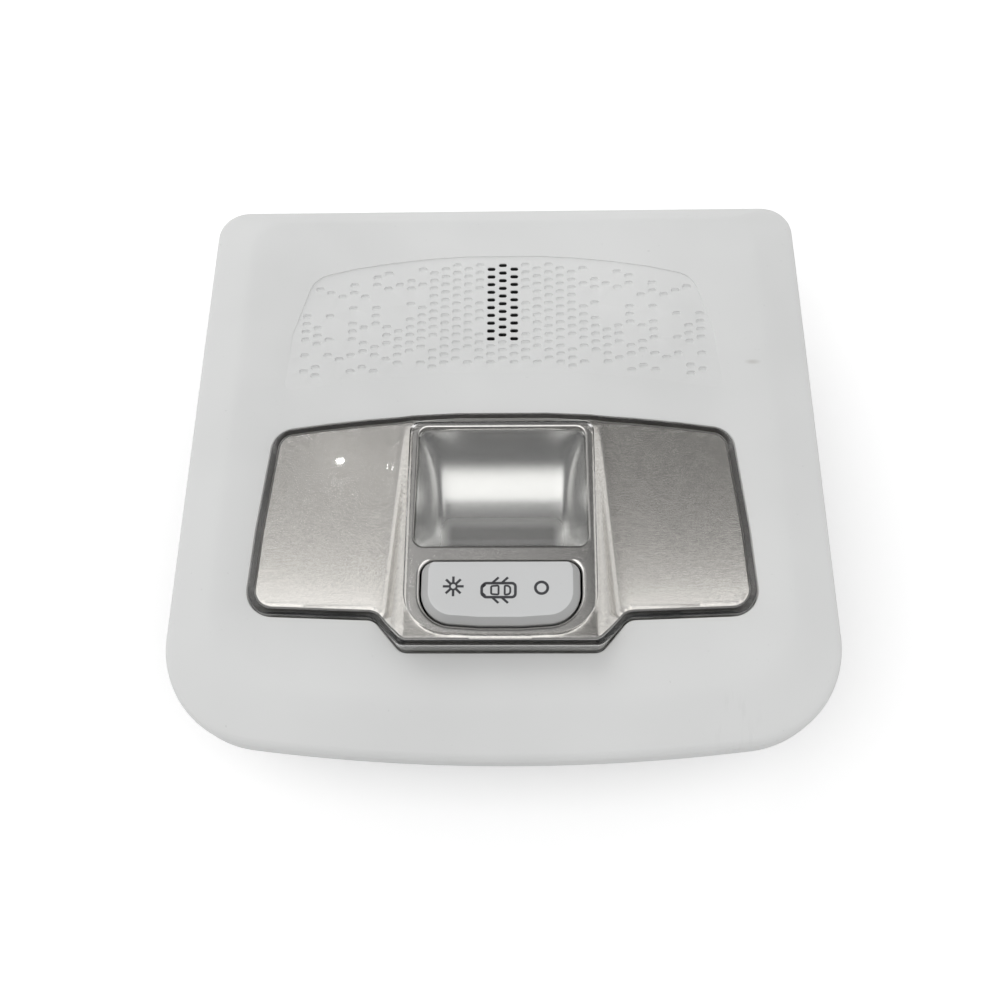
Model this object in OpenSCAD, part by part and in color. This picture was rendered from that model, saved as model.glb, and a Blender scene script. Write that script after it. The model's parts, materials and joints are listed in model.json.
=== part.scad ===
// Overhead car dome light: moulded bezel with microphone grille, clear lens over
// a satin silver trim, lit trough, three way rocker switch and the lamp body behind.
// It lies face up on its back. X runs left to right, Y from the near edge to the far
// edge, Z up out of the face. All sizes are in millimetres.

/* [Bezel] */
// Full width at the near end, the widest place
bezel_near_w = 168; // [160:1:180]
// Full width at the far end
bezel_far_w = 160.8; // [150:0.2:168]
// Distance from the origin to the near edge, at the middle
bezel_near_y = 76.8; // [74:0.2:84]
// Distance from the origin to the far edge
bezel_far_y = 76.6; // [72:0.2:84]
// Corner radius at the near end
bezel_near_r = 26; // [18:1:32]
// Corner radius at the far end
bezel_far_r = 8; // [5:0.5:12]
// How much the near edge bows out between its corners
bezel_near_bow = 3.8; // [0:0.2:6]
// Width of the sloping border along the sides
border_side = 11.5; // [8:0.5:14]
// Width of the sloping border along the near edge
border_near = 14.3; // [8:0.5:18]
// Width of the rolled border along the far edge
border_far = 6; // [4:0.5:9]
// Height of the flat face above the rim's lower edge
bezel_h = 12; // [9:0.5:16]
// Drop of the sloping border from the flat face to the rim
border_drop = 3.4; // [2:0.2:5]
// Wall of the moulding
bezel_wall = 2.4; // [1.8:0.2:3]

/* [Microphone grille] */
// Half width of the grille panel at its lower corners
grille_half_w = 57.6; // [50:0.2:60]
// Height of the panel's top edge above the origin, at the middle
grille_top_y = 59.7; // [56:0.1:62]
// Height of the panel's lower edge above the origin, at the middle
grille_low_y = 24.8; // [22:0.1:28]
// Depth of the panel's step
grille_step = 0.25; // [0.1:0.05:0.5]
// Spacing of the dimple columns
dimple_pitch_x = 3.11; // [2.8:0.01:3.6]
// Spacing of the dimples in a column
dimple_pitch_y = 2.37; // [2.1:0.01:2.8]
// Length of a dimple
dimple_l = 2.5; // [1.8:0.1:2.7]
// Width of a dimple
dimple_w = 1.5; // [1:0.1:1.9]
// Depth of a dimple below the panel
dimple_depth = 0.45; // [0.2:0.05:0.8]
// Height above the origin of the middle row of sound slots
slot_mid_y = 45.1; // [42:0.1:48]
// Length of a sound slot
slot_l = 2.3; // [1.8:0.1:2.6]
// Width of a sound slot
slot_w = 1.15; // [0.8:0.05:1.4]
// Seed of the scattered dimples
dimple_seed = 7; // [1:1:40]

/* [Lens unit] */
// Half width of the lens at its lower corners
lens_near_half_w = 63.2; // [58:0.2:65]
// Half width of the lens at its upper corners
lens_far_half_w = 58.8; // [54:0.2:62]
// Top edge of the lens above the origin, at the middle
lens_top_y = 12.4; // [10:0.1:16]
// Fall of the top edge from the middle to the corners
lens_top_bow = 4.8; // [2:0.1:7]
// Lower edge of the wings below the origin
wing_near_y = 42; // [38:0.2:46]
// Lower edge of the tongue below the origin
tongue_near_y = 51; // [48:0.2:55]
// Half width of the tongue at its lower edge
tongue_half_w = 24.4; // [22:0.2:28]
// Half width of the tongue where the wings end
shoulder_half_w = 31.3; // [28:0.2:36]
// How far the wings stand above the bezel's face
lens_proud = 2.2; // [1.2:0.1:3]
// Rise of the tongue above the wings at its lower edge
tongue_rise = 5; // [2:0.2:6]
// Thickness of the clear cover
cover_t = 1.8; // [1.4:0.1:2.4]
// Thickness of the silver trim
trim_t = 1.4; // [1:0.1:2]
// Width of the cover's rounded edge
cover_edge = 2; // [0.6:0.1:2.2]
// Half width of the framed well in the tongue
well_half_w = 23.6; // [22:0.1:24.6]
// Half width of the window
window_half_w = 21.8; // [18:0.1:22.2]
// Top edge of the window above the origin
window_top_y = 8.2; // [6:0.1:9]
// Lower edge of the window below the origin
window_near_y = 24.7; // [20:0.1:25]
// Thickness of the window lens
window_t = 1.4; // [1:0.1:2]
// Radius of the reflector trough
trough_r = 18.5; // [18:0.1:22]
// Wall of the reflector
reflector_wall = 1.2; // [0.8:0.1:2]

/* [Rocker switch] */
// Half width of the rocker
rocker_half_w = 20; // [16:0.1:20.2]
// Top edge of the rocker below the origin
rocker_top_y = 29.1; // [28.4:0.1:30]
// Lower edge of the rocker below the origin
rocker_near_y = 45.6; // [42:0.1:46]
// Bevel round the rocker's face
rocker_bevel = 1.6; // [0.8:0.1:2.4]
// Wall of the rocker
rocker_wall = 1.4; // [1:0.1:2]
// Radius of the rocker's pivots
pivot_r = 1.6; // [1.2:0.1:2]
// Distance from the pivot to the lever's ball
lever_l = 10; // [8:0.5:12]
// Radius of the lever's ball
ball_r = 1.3; // [1:0.1:1.6]
// Tilt of the rocker to each side, in degrees
rocker_tilt = 5.5; // [4:0.5:6]
// Gap between the rocker and its opening
rocker_gap = 0.55; // [0.5:0.05:1]

/* [Lamp body] */
// Depth of the lamp body behind the bezel's rim
body_depth = 24; // [22:0.5:32]
// Half width of the deep box
box_half_w = 34; // [32:0.5:40]
// Far wall of the deep box above the origin
box_far_y = 13; // [12:0.5:16]
// Near wall of the deep box below the origin
box_near_y = 49.5; // [49:0.5:52]
// Wall of the lamp housing
housing_wall = 2; // [1.6:0.1:2.6]
// Thickness of the rear cover
rear_cover_t = 2; // [1.6:0.1:3]
// Thickness of the circuit board
board_t = 1.6; // [1:0.1:2]
// Distance between the mounting screws across the body
ear_span = 84; // [78:1:90]
// Radius of a screw's shank
screw_r = 1.5; // [1.2:0.1:2]

/* [Mounts] */
// Radius of the locating pins
pin_r = 3; // [2:0.1:4]
// Length of the locating pins below the face's underside
pin_l = 14; // [8:0.5:16]
// Distance between the locating pins
pin_span = 116; // [110:1:120]
// Place of the locating pins along the depth
pin_y = 38; // [34:0.5:42]
// Thickness of the clip blades
blade_t = 2.6; // [2:0.1:3]
// Length of the clip blades below the face's underside
blade_l = 19; // [15:0.5:20]
// Distance across from a far screw to the clip beside it
clip_far_gap = 15; // [12:0.5:18]
// Far clips above the origin
clip_far_y = 52; // [46:0.5:58]
// Distance across from a near screw to the clip beside it
clip_near_gap = 14; // [12:0.5:18]
// Near clips below the origin
clip_near_y = 54; // [52:0.5:56]

/* [Hidden] */
// Height of the cutting blocks above the wings
cut_h = 8;
// True circles everywhere that a bore or shaft needs one
$fn = 48;
// Points in each rounded corner of an outline
corner_steps = 7;
// Gap between pieces that seat in one another
fit = 0.15;
// Running gap at pivots and slides
run_gap = 0.06;
// Cut tools reach this far past what they cut
over = 1;

// Heights
rim_z = body_depth;
face_z = rim_z + bezel_h;
under_z = face_z - bezel_wall;
wing_z = face_z + lens_proud;
cover_flange_t = 1.6;
cover_flange_z = under_z - cover_flange_t;
trim_z = wing_z - cover_t - fit;
trim_flange_z = cover_flange_z - trim_t;
tray_top_z = trim_flange_z;
tray_t = 6;
tray_z = tray_top_z - tray_t;
deck_t = 2;
deck_z = 13;
deck_top_z = deck_z + deck_t;
board_top_z = deck_z - 1;
board_z = board_top_z - board_t;
slope = atan(tongue_rise / (lens_top_y + tongue_near_y));
pivot_y = -(rocker_top_y + rocker_near_y) / 2;
pivot_z = 35;
slide_y = pivot_y;
ball_z = pivot_z - lever_l;
// Height of the tongue's top at a place along it
function tongue_z(y) = wing_z + (lens_top_y - y) * tan(slope);

// Outline helpers: corners are [x, y, radius], listed counter clockwise
function unit(v) = v / norm(v);
function lerp(a, b, k) = a + (b - a) * k;
function xy(p) = [p[0], p[1]];
function arc(c, r, a0, a1, n) = [for (i = [0:n]) c + r * [cos(lerp(a0, a1, i / n)), sin(lerp(a0, a1, i / n))]];
function turn(a0, a1) = (a1 - a0 + 540) % 360 - 180;
function bend(a, b, c) =
    let (p = xy(b), u = unit(xy(a) - p), v = unit(xy(c) - p), half = acos(u * v) / 2,
         m = p + unit(u + v) * b[2] / sin(half), s = p + u * b[2] / tan(half), e = p + v * b[2] / tan(half),
         a0 = atan2(s[1] - m[1], s[0] - m[0]), a1 = atan2(e[1] - m[1], e[0] - m[0]))
    arc(m, b[2], a0, a0 + turn(a0, a1), corner_steps);
function rounded(c) =
    let (n = len(c))
    [for (i = [0:n - 1]) each (c[i][2] > 0 ? bend(c[(i + n - 1) % n], c[i], c[(i + 1) % n]) : [xy(c[i])])];
function inset(p, d) =
    let (n = len(p))
    [for (i = [0:n - 1])
        let (u = unit(p[i] - p[(i + n - 1) % n]), v = unit(p[(i + 1) % n] - p[i]),
             nu = [-u[1], u[0]], m = unit(nu + [-v[1], v[0]]))
        p[i] + m * d / (m * nu)];
function mirrored(right) = concat(right, [for (i = [len(right) - 1:-1:0]) [-right[i][0], right[i][1], right[i][2]]]);

// Outline of the bezel: a is the inset at the sides, near and far edges
function panel(side, near, far, near_r, far_r, bow) =
    let (wn = bezel_near_w / 2 - side, wf = bezel_far_w / 2 - side, lean = atan(2 * bow / (wn - near_r)),
         cy = -bezel_near_y + near + bow + near_r * cos(lean), xe = wn - near_r + near_r * sin(lean),
         fy = bezel_far_y - far - far_r, edge_steps = 8)
    concat(arc([wn - near_r, cy], near_r, lean - 90, 0, corner_steps),
           arc([wf - far_r, fy], far_r, 0, 90, corner_steps),
           arc([far_r - wf, fy], far_r, 90, 180, corner_steps),
           arc([near_r - wn, cy], near_r, 180, 270 - lean, corner_steps),
           [for (i = [1:edge_steps - 1])
               let (x = lerp(-xe, xe, i / edge_steps)) [x, -bezel_near_y + near + bow * pow(x / xe, 2)]]);
outer_line = panel(0, 0, 0, bezel_near_r, bezel_far_r, bezel_near_bow);
inner_line = panel(bezel_wall, bezel_wall, bezel_wall, bezel_near_r - bezel_wall, bezel_far_r - bezel_wall, bezel_near_bow);
crease_line = panel(border_side, border_near, border_far, bezel_near_r - 5, bezel_far_r, bezel_near_bow);
function between(a, b, k) = [for (i = [0:len(a) - 1]) lerp(a[i], b[i], k)];

// Outline of the lens unit
function lens_corners() = mirrored(concat(
    [[tongue_half_w, -tongue_near_y + 0.2, 3.6], [shoulder_half_w, -wing_near_y - 0.6, 4],
     [lens_near_half_w + 0.4, -wing_near_y + 0.6, 6.5], [lens_near_half_w - 1, -wing_near_y + 22, 0],
     [lens_far_half_w + 0.4, lens_top_y - lens_top_bow, 6]],
    [for (x = [46:-11.5:11.5]) [x, lens_top_y - lens_top_bow * pow(x / lens_far_half_w, 2), 0]]));
lens_line = rounded(lens_corners());

// Outline of the well in the tongue, with the window and the rocker in it
function well_corners() = mirrored([
    [well_half_w - 14.6, -rocker_near_y - 2, 0], [well_half_w - 4.6, -rocker_near_y - 0.9, 7],
    [well_half_w, -rocker_near_y + 7.4, 7.5], [well_half_w, window_top_y + 0.5, 2.6]]);
function window_corners() = mirrored([
    [window_half_w, -window_near_y, 1.2], [window_half_w - 0.4, window_top_y, 2.4]]);
function rocker_corners() = mirrored([
    [rocker_half_w - 13, -rocker_near_y + 0.1, 0], [rocker_half_w - 3.2, -rocker_near_y + 1.5, 5.5],
    [rocker_half_w, -rocker_near_y + 7.5, 6], [rocker_half_w, -rocker_top_y, 2]]);
rocker_line = rounded(rocker_corners());
window_line = rounded(window_corners());
// Outline of a lip round the window: side wider at the sides, near and far at those edges
function lip_line(side, near, far) = rounded(mirrored([
    [window_half_w + side, -window_near_y - near, 1.2 + near],
    [window_half_w - 0.4 + side, window_top_y + far, 2.4]]));
far_lip = 0.2;

// A solid between an outline and its flat ends
module slab(line, z0, z1) {
    translate([0, 0, z0])
        linear_extrude(z1 - z0)
            polygon(line);
}

// A closed solid lofted through rings of equal point count, each a list of [x, y, z]
module loft(rings) {
    n = len(rings[0]);
    m = len(rings);
    polyhedron(
        points = [for (r = rings) each r],
        faces = concat(
            [[for (i = [0:n - 1]) i]],
            [for (j = [0:m - 2], i = [0:n - 1])
                [j * n + i, (j + 1) * n + i, (j + 1) * n + (i + 1) % n, j * n + (i + 1) % n]],
            [[for (i = [n - 1:-1:0]) (m - 1) * n + i]]));
}

// A ring shaped solid: a closed profile of rings swept round the outline
module skirt(rings) {
    n = len(rings[0]);
    m = len(rings);
    polyhedron(
        points = [for (r = rings) each r],
        faces = [for (j = [0:m - 1], i = [0:n - 1])
            [j * n + i, ((j + 1) % m) * n + i, ((j + 1) % m) * n + (i + 1) % n, j * n + (i + 1) % n]]);
}
function at_z(line, z) = [for (p = line) [p[0], p[1], z]];

// The tongue's rising wedge, whose top leaves height z at the lens's top edge. It reaches
// a little below z, so that it joins what it stands on, and it is drawn in by d.
wedge_sink = 0.3;
module wedge(z, d) {
    y0 = lens_top_y + wedge_sink / tan(slope);
    y1 = -tongue_near_y - 2;
    w = tongue_half_w + 0.4 - d;
    h = (y0 - y1) * tan(slope);
    b = z - wedge_sink;
    polyhedron(
        points = [[-w, y0, b], [w, y0, b], [w + h, y1, b], [-w - h, y1, b], [w, y1, b + h], [-w, y1, b + h]],
        faces = [[3, 2, 1, 0], [1, 4, 5, 0], [2, 4, 1], [5, 3, 0], [5, 4, 2, 3]]);
}

// Places its children in the tongue's sloping plane, from the lens's top edge
module on_tongue() {
    translate([0, lens_top_y, wing_z])
        rotate([-slope, 0, 0])
            translate([0, -lens_top_y, 0])
                children();
}

// A screw with a pan head below z, pointing up
module screw(r, l, head_r, head_h) {
    cylinder(r = r, h = l);
    translate([0, 0, -head_h])
        difference() {
            cylinder(r = head_r, h = head_h);
            for (a = [0, 90])
                rotate(a)
                    translate([-head_r * 0.6, -0.4, -over])
                        cube([head_r * 1.2, 0.8, over + 0.9]);
        }
}

// Bezel
blade_w = 10;
ear_far_y = 21;
ear_near_y = -53;
ear_x = ear_span / 2;
clip_far_x = ear_x + clip_far_gap;
clip_near_x = ear_x + clip_near_gap;
ear_boss_r = 4;
ear_boss_h = 3.6;
ear_t = 2.4;
ear_z = under_z - ear_boss_h - ear_t;
ear_places = [[ear_x, ear_far_y], [-ear_x, ear_far_y], [ear_x, ear_near_y], [-ear_x, ear_near_y]];
mic_boss_x = 12.5;
mic_boss_r = 3.2;
mic_z = under_z - 8.6;
clip_places = [[-clip_far_x, clip_far_y], [clip_far_x, clip_far_y],
               [-clip_near_x, -clip_near_y], [clip_near_x, -clip_near_y]];

// Chance of a dimple at a lattice place: full near the middle, thinning outward
function chance(u) = abs(u) < 6.5 ? 0.93 : abs(u) < 12.5 ? 0.62 : 0.42;
// A repeatable number from 0 to 1 for a lattice place, the same on both halves
function scatter(u, v) = let (s = sin(abs(u) * 157.31 + v * 271.17 + dimple_seed * 53.7) * 937.13) s - floor(s);
function in_grille(x, y) =
    abs(x) < grille_half_w - 2 - max(0, y - 26) * 0.16
    && y < grille_top_y - 1.8 - 5 * pow(x / 45, 2)
    && y > grille_low_y + 1.6 - 5.2 * pow(x / grille_half_w, 2);
slot_rows = 10;
function is_slot(u, v) = abs(u) < 1.5 && v > -slot_rows / 2 && v < slot_rows / 2 + 0.5 && (u == 0 || v < slot_rows / 2);
lattice = [for (u = [-19:19], k = [-12:12])
    let (v = k + (abs(u) % 2) / 2, x = u * dimple_pitch_x, y = slot_mid_y + v * dimple_pitch_y)
    if (in_grille(x, y)) [u, v, x, y]];

module stadium(l, w) {
    square([l - w, w], center = true);
    for (s = [-1, 1])
        translate([s * (l - w) / 2, 0])
            circle(d = w);
}

module dimples() {
    for (p = lattice)
        if (!is_slot(p[0], p[1]) && scatter(p[0], p[1]) < chance(p[0]))
            translate([p[2], p[3], face_z - grille_step - dimple_depth])
                linear_extrude(dimple_depth + over)
                    stadium(dimple_l, dimple_w);
}

module sound_slots() {
    for (p = lattice)
        if (is_slot(p[0], p[1]))
            translate([p[2], p[3], under_z - over])
                linear_extrude(bezel_wall + 2 * over)
                    stadium(slot_l, slot_w);
}

function grille_corners() = mirrored(concat(
    [for (x = [12:15:42]) [x, grille_low_y - 5.2 * pow(x / grille_half_w, 2), 0]],
    [[grille_half_w, grille_low_y - 5.4, 2], [grille_half_w - 1.2, grille_low_y + 11, 0],
     [grille_half_w - 6.2, grille_top_y - 6.6, 7]],
    [for (x = [40:-10:10]) [x, grille_top_y - 4.7 * pow(x / 45, 2), 0]]));

module bezel_shell() {
    roll = border_drop * 0.24;
    top = face_z - border_drop;
    outer = [[0, rim_z], [0, top - 2], [0.03, top - roll], [0.12, top], [0.86, face_z - 0.45], [0.97, face_z - 0.06],
             [1.14, face_z]];
    inner = [[1.14, under_z], [0.9, under_z - 0.4], [0.12, top - bezel_wall], [0, top - bezel_wall - 1.4], [0, rim_z]];
    skirt(concat(
        [for (p = outer) at_z(between(outer_line, crease_line, p[0]), p[1])],
        [for (p = inner) at_z(between(inner_line, crease_line, p[0]), p[1])]));
    slab(between(outer_line, crease_line, 1.07), under_z, face_z);
}

module blade() {
    difference() {
        translate([-blade_t / 2, -blade_w / 2, under_z - blade_l])
            cube([blade_t, blade_w, blade_l + 0.2]);
        translate([0, 0, under_z - blade_l + 4])
            rotate([0, 90, 0])
                cylinder(r = 1.6, h = blade_t + 2 * over, center = true);
    }
    for (s = [-1, 1])
        translate([-blade_t / 2 - 2.4, s * (blade_w / 2 + 0.6) - 0.6, under_z - blade_l + 8])
            cube([blade_t + 4.8, 1.2, blade_l - 7.8]);
}

module ribs() {
    for (x = [-66, -22, 22, 66])
        translate([x - 0.6, 28, under_z - 3])
            cube([1.2, 38, 3.2]);
    for (x = [-30, 0, 30])
        translate([x - 0.6, -62, under_z - 2.6])
            cube([1.2, 7, 2.8]);
    for (y = [28, 64])
        translate([-66, y - 0.6, under_z - 3])
            cube([132, 1.2, 3.2]);
}

module bezel() color("gainsboro") {
    difference() {
        union() {
            bezel_shell();
            ribs();
            for (p = clip_places)
                translate([p[0], p[1], 0])
                    blade();
            for (s = [-1, 1])
                translate([s * pin_span / 2, pin_y, under_z - pin_l])
                    cylinder(r = pin_r, h = pin_l + 0.2);
            for (p = ear_places)
                translate([p[0], p[1], under_z - ear_boss_h])
                    cylinder(r = ear_boss_r, h = ear_boss_h + 0.2);
            for (s = [-1, 1])
                translate([s * mic_boss_x, slot_mid_y + 1, mic_z])
                    cylinder(r = mic_boss_r, h = under_z - mic_z + 0.2);
        }
        slab(inset(lens_line, -2 * fit), under_z - over, face_z + over);
        slab(rounded(grille_corners()), face_z - grille_step, face_z + over);
        dimples();
        sound_slots();
        for (p = ear_places)
            translate([p[0], p[1], under_z - ear_boss_h - over])
                cylinder(r = screw_r + fit / 3, h = ear_boss_h + over + 1);
        for (s = [-1, 1])
            translate([s * mic_boss_x, slot_mid_y + 1, mic_z - over])
                cylinder(r = 1.15, h = 6 + over);
    }
}

// Lens unit
module lens_cover() color("azure", 0.4) {
    difference() {
        union() {
            loft([at_z(lens_line, cover_flange_z), at_z(lens_line, wing_z - cover_edge),
                  at_z(inset(lens_line, cover_edge * 0.35), wing_z - cover_edge * 0.35),
                  at_z(inset(lens_line, cover_edge), wing_z)]);
            slab(inset(lens_line, -2.2), cover_flange_z, under_z);
            intersection() {
                wedge(wing_z, 0);
                slab(inset(lens_line, cover_edge * 0.4), cover_flange_z, wing_z + cut_h);
            }
        }
        slab(inset(lens_line, cover_t), cover_flange_z - over, wing_z - cover_t);
        intersection() {
            wedge(wing_z - cover_t, 0.6);
            slab(inset(lens_line, cover_t), cover_flange_z, wing_z + cut_h);
        }
        slab(rounded(well_corners()), cover_flange_z - over, wing_z + cut_h);
    }
}

module silver_trim() color("silver") {
    edge = cover_t + fit;
    difference() {
        union() {
            slab(inset(lens_line, edge), trim_flange_z, trim_z);
            slab(inset(lens_line, -1.8), trim_flange_z, cover_flange_z);
            intersection() {
                wedge(trim_z, 0.8);
                slab(inset(lens_line, edge), trim_flange_z, wing_z + cut_h);
            }
        }
        slab(inset(lens_line, edge + trim_t), trim_flange_z - over, trim_z - trim_t);
        intersection() {
            wedge(trim_z - trim_t, 1.2);
            slab(inset(lens_line, edge + trim_t), trim_flange_z - over, wing_z + cut_h);
        }
        slab(window_line, trim_flange_z - over, wing_z + cut_h);
        slab(inset(rocker_line, -rocker_gap), trim_flange_z - over, wing_z + cut_h);
        translate([-window_half_w - 2.6, window_top_y - 4, trim_flange_z - over])
            cube([2 * (window_half_w + 2.6), 12, trim_z - trim_t - trim_flange_z + over]);
    }
}

// Heights in the tongue's own plane, down from the cover's top
trim_drop = cover_t + fit;
window_drop = trim_drop + trim_t;
flange_drop = window_drop + window_t;

module window_lens() color("white", 0.4) {
    on_tongue() {
        slab(inset(window_line, fit), -window_drop - 0.2, -trim_drop - 0.3);
        slab(lip_line(1.4, 1.2, far_lip), -flange_drop, -window_drop);
    }
}

trough_mid_y = (window_top_y - window_near_y) / 2;
trough_half = (window_top_y + window_near_y) / 2 + 0.6;
trough_drop = sqrt(trough_r * trough_r - trough_half * trough_half);
led_x = 9;
led_w = 3.5;
led_h = 2.8;
led_drop = 10.2;

// Profile of the trough's body, in the plane across it, flat below the flange's top
module trough_profile(r) {
    intersection() {
        circle(r = r, $fn = 96);
        translate([-2 * r, -trough_drop - 0.2 - 2 * r])
            square([4 * r, 2 * r]);
    }
}

module along_x(x0, x1) {
    translate([x0, trough_mid_y, -flange_drop + trough_drop])
        rotate([90, 0, 90])
            linear_extrude(x1 - x0)
                children();
}

module reflector() color("lightgray") {
    w = window_half_w;
    on_tongue()
        difference() {
            union() {
                along_x(-w - reflector_wall, w + reflector_wall)
                    trough_profile(trough_r + reflector_wall);
                slab(lip_line(2, 0.8, far_lip), -flange_drop - reflector_wall, -flange_drop);
            }
            along_x(-w, w)
                circle(r = trough_r, $fn = 96);
            for (s = [-1, 1])
                translate([s * led_x - led_w / 2 - 0.3, trough_mid_y - trough_half - 6, -led_drop - led_h / 2 - 0.3])
                    cube([led_w + 0.6, 13, led_h + 0.6]);
        }
}

led_board_y = -window_near_y - 1.3;
led_board_w = 28;
led_board_h = 14.4;
module led_board() color("darkgreen") {
    translate([-led_board_w / 2, led_board_y, deck_top_z])
        cube([led_board_w, 1, led_board_h]);
}

module led(x) {
    color("ivory")
        translate([x - led_w / 2, led_board_y + 1, deck_top_z + 10.4])
            cube([led_w, 1.6, led_h]);
}

// Lamp body
screw_places = [[box_half_w - 5.4, box_far_y - 5.4], [-box_half_w + 5.4, box_far_y - 5.4],
                [box_half_w - 5.4, -box_near_y + 5.4], [-box_half_w + 5.4, -box_near_y + 5.4]];
board_half_w = box_half_w - 10;
board_far_y = box_far_y - housing_wall - 1;
board_near_y = box_near_y - housing_wall - 5;
board_holes = [[board_half_w - 4, -28], [-board_half_w + 4, -28]];
header_w = 19;
header_h = 7.6;
header_x = -6;
header_z = board_z - header_h;
header_y = box_far_y - 8;
header_l = 15;
strip_pitch = 4.6;
strip_w = 3;
tail_w = 1.2;

module box_line(d) {
    translate([-box_half_w + d, -box_near_y + d])
        square([2 * (box_half_w - d), box_near_y + box_far_y - 2 * d]);
}

// The tray, the deep box under it and its deck, hollow above and below the deck
module housing_shell() {
    difference() {
        union() {
            slab(inset(lens_line, -1.8), tray_z, tray_top_z);
            translate([0, 0, rear_cover_t])
                linear_extrude(tray_z - rear_cover_t + 0.2)
                    box_line(0);
            for (p = ear_places)
                ear(p);
        }
        slab(inset(lens_line, housing_wall - 1.8), tray_z + housing_wall, tray_top_z + over);
        intersection() {
            translate([0, 0, deck_top_z])
                linear_extrude(40)
                    box_line(housing_wall);
            slab(inset(lens_line, housing_wall - 1.8), 0, tray_top_z + over);
        }
        translate([0, 0, -over])
            linear_extrude(deck_z + over)
                box_line(housing_wall);
    }
}

module lamp_housing() color("dimgray") {
    difference() {
        union() {
            housing_shell();
            for (p = screw_places)
                translate([p[0], p[1], rear_cover_t])
                    cylinder(r = 3.3, h = deck_z - rear_cover_t + 0.2);
            for (p = board_holes)
                translate([p[0], p[1], board_top_z])
                    cylinder(r = 2.6, h = deck_z - board_top_z + 0.2);
            saddles();
            for (x = [-47, 47])
                translate([x - 0.6, -34, tray_z + housing_wall - 0.2])
                    cube([1.2, 34, 3]);
        }
        for (p = screw_places)
            translate([p[0], p[1], rear_cover_t - over])
                cylinder(r = screw_r + fit / 3, h = deck_z - rear_cover_t - 1 + over);
        for (p = board_holes)
            translate([p[0], p[1], board_top_z - over])
                cylinder(r = 1.2, h = deck_top_z - board_top_z - 0.4 + over);
        translate([header_x - header_w / 2 - fit, box_far_y - housing_wall - over, header_z - fit])
            cube([header_w + 2 * fit, housing_wall + 2 * over, header_h + 2 * fit]);
        for (p = ear_places)
            translate([p[0], p[1], ear_z - over])
                cylinder(r = screw_r + 0.2, h = ear_t + 2 * over);
        for (x = [-strip_pitch, 0, strip_pitch])
            translate([x - tail_w / 2 - 0.2, slide_y - 4.2, deck_z - over])
                cube([tail_w + 0.4, 1.4, deck_t + 2 * over]);
    }
}

// Tab that reaches from the tray's wall to a screw boss of the bezel
module ear(p) {
    in_y = p[1] > 0 ? lens_top_y - lens_top_bow - 2 : -wing_near_y + 1;
    y0 = min(p[1], in_y);
    translate([p[0], p[1], ear_z])
        cylinder(r = ear_boss_r + 0.6, h = ear_t);
    translate([p[0] - ear_boss_r - 0.6, y0, ear_z])
        cube([2 * ear_boss_r + 1.2, abs(p[1] - in_y), ear_t]);
}

// Ribs on the deck that carry the reflector's belly
module saddles() {
    difference() {
        for (x = [-15, 15])
            translate([x - 0.8, trough_mid_y - 9, deck_top_z - 0.2])
                cube([1.6, 18, 12]);
        on_tongue()
            along_x(-30, 30)
                circle(r = trough_r + reflector_wall + fit, $fn = 96);
    }
}

module rear_cover() color("dimgray") {
    lip = 2.2;
    difference() {
        union() {
            linear_extrude(rear_cover_t)
                box_line(0);
            translate([0, 0, rear_cover_t - 0.2])
                linear_extrude(lip + 0.2)
                    difference() {
                        box_line(housing_wall + fit);
                        box_line(housing_wall + fit + 1.4);
                        for (p = screw_places)
                            translate(p)
                                square(9, center = true);
                        translate([header_x - header_w / 2 - 1, box_far_y - housing_wall - 3])
                            square([header_w + 2, 4]);
                    }
        }
        for (p = screw_places)
            translate([p[0], p[1], -over]) {
                cylinder(r = screw_r + 0.2, h = rear_cover_t + 2 * over);
                cylinder(r = 3.1, h = over + 1.2);
            }
        for (i = [0:6])
            translate([-12, -34 + i * 3.6, -over])
                cube([24, 1.6, rear_cover_t + 2 * over]);
    }
}

module circuit_board() color("darkgreen") {
    difference() {
        translate([-board_half_w, -board_near_y, board_z])
            cube([2 * board_half_w, board_near_y + board_far_y, board_t]);
        for (p = board_holes)
            translate([p[0], p[1], board_z - over])
                cylinder(r = 1.4, h = board_t + 2 * over);
        for (x = [-strip_pitch, 0, strip_pitch])
            translate([x - tail_w / 2 - 0.15, slide_y - 4.15, board_z - over])
                cube([tail_w + 0.3, 1.1, board_t + 2 * over]);
    }
}

header_wall = 1.1;
module connector_header() color("ivory") {
    translate([header_x - header_w / 2, header_y, header_z])
        difference() {
            cube([header_w, header_l, header_h]);
            translate([header_wall, 4, header_wall])
                cube([header_w - 2 * header_wall, header_l, header_h - 2 * header_wall]);
            translate([header_w / 2 - 2.5, header_l - 5, header_h - header_wall - over])
                cube([5, 5 + over, header_wall + 2 * over]);
            for (i = [0:5])
                translate([header_wall + 1.9 + i * 2.5 - 0.35, -over, header_h / 2 - 0.35])
                    cube([0.7, 5 + over, 0.7]);
        }
}

module connector_pins() color("gold") {
    for (i = [0:5])
        translate([header_x - header_w / 2 + header_wall + 1.9 + i * 2.5 - 0.32, 0, 0]) {
            translate([0, header_y - 2.5, header_z + header_h / 2 - 0.32])
                cube([0.64, 13.5, 0.64]);
            translate([0, header_y - 2.5, header_z + header_h / 2 - 0.32])
                cube([0.64, 0.64, header_h / 2 + 0.32]);
        }
}

module resistor(x) {
    color("black")
        translate([x - 1.6, -12, board_z - 0.9])
            cube([3.2, 6.4, 0.9]);
}

module driver_chip() color("black") {
    translate([6, -22, board_z - 1.6])
        cube([8, 6, 1.6]);
}

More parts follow.
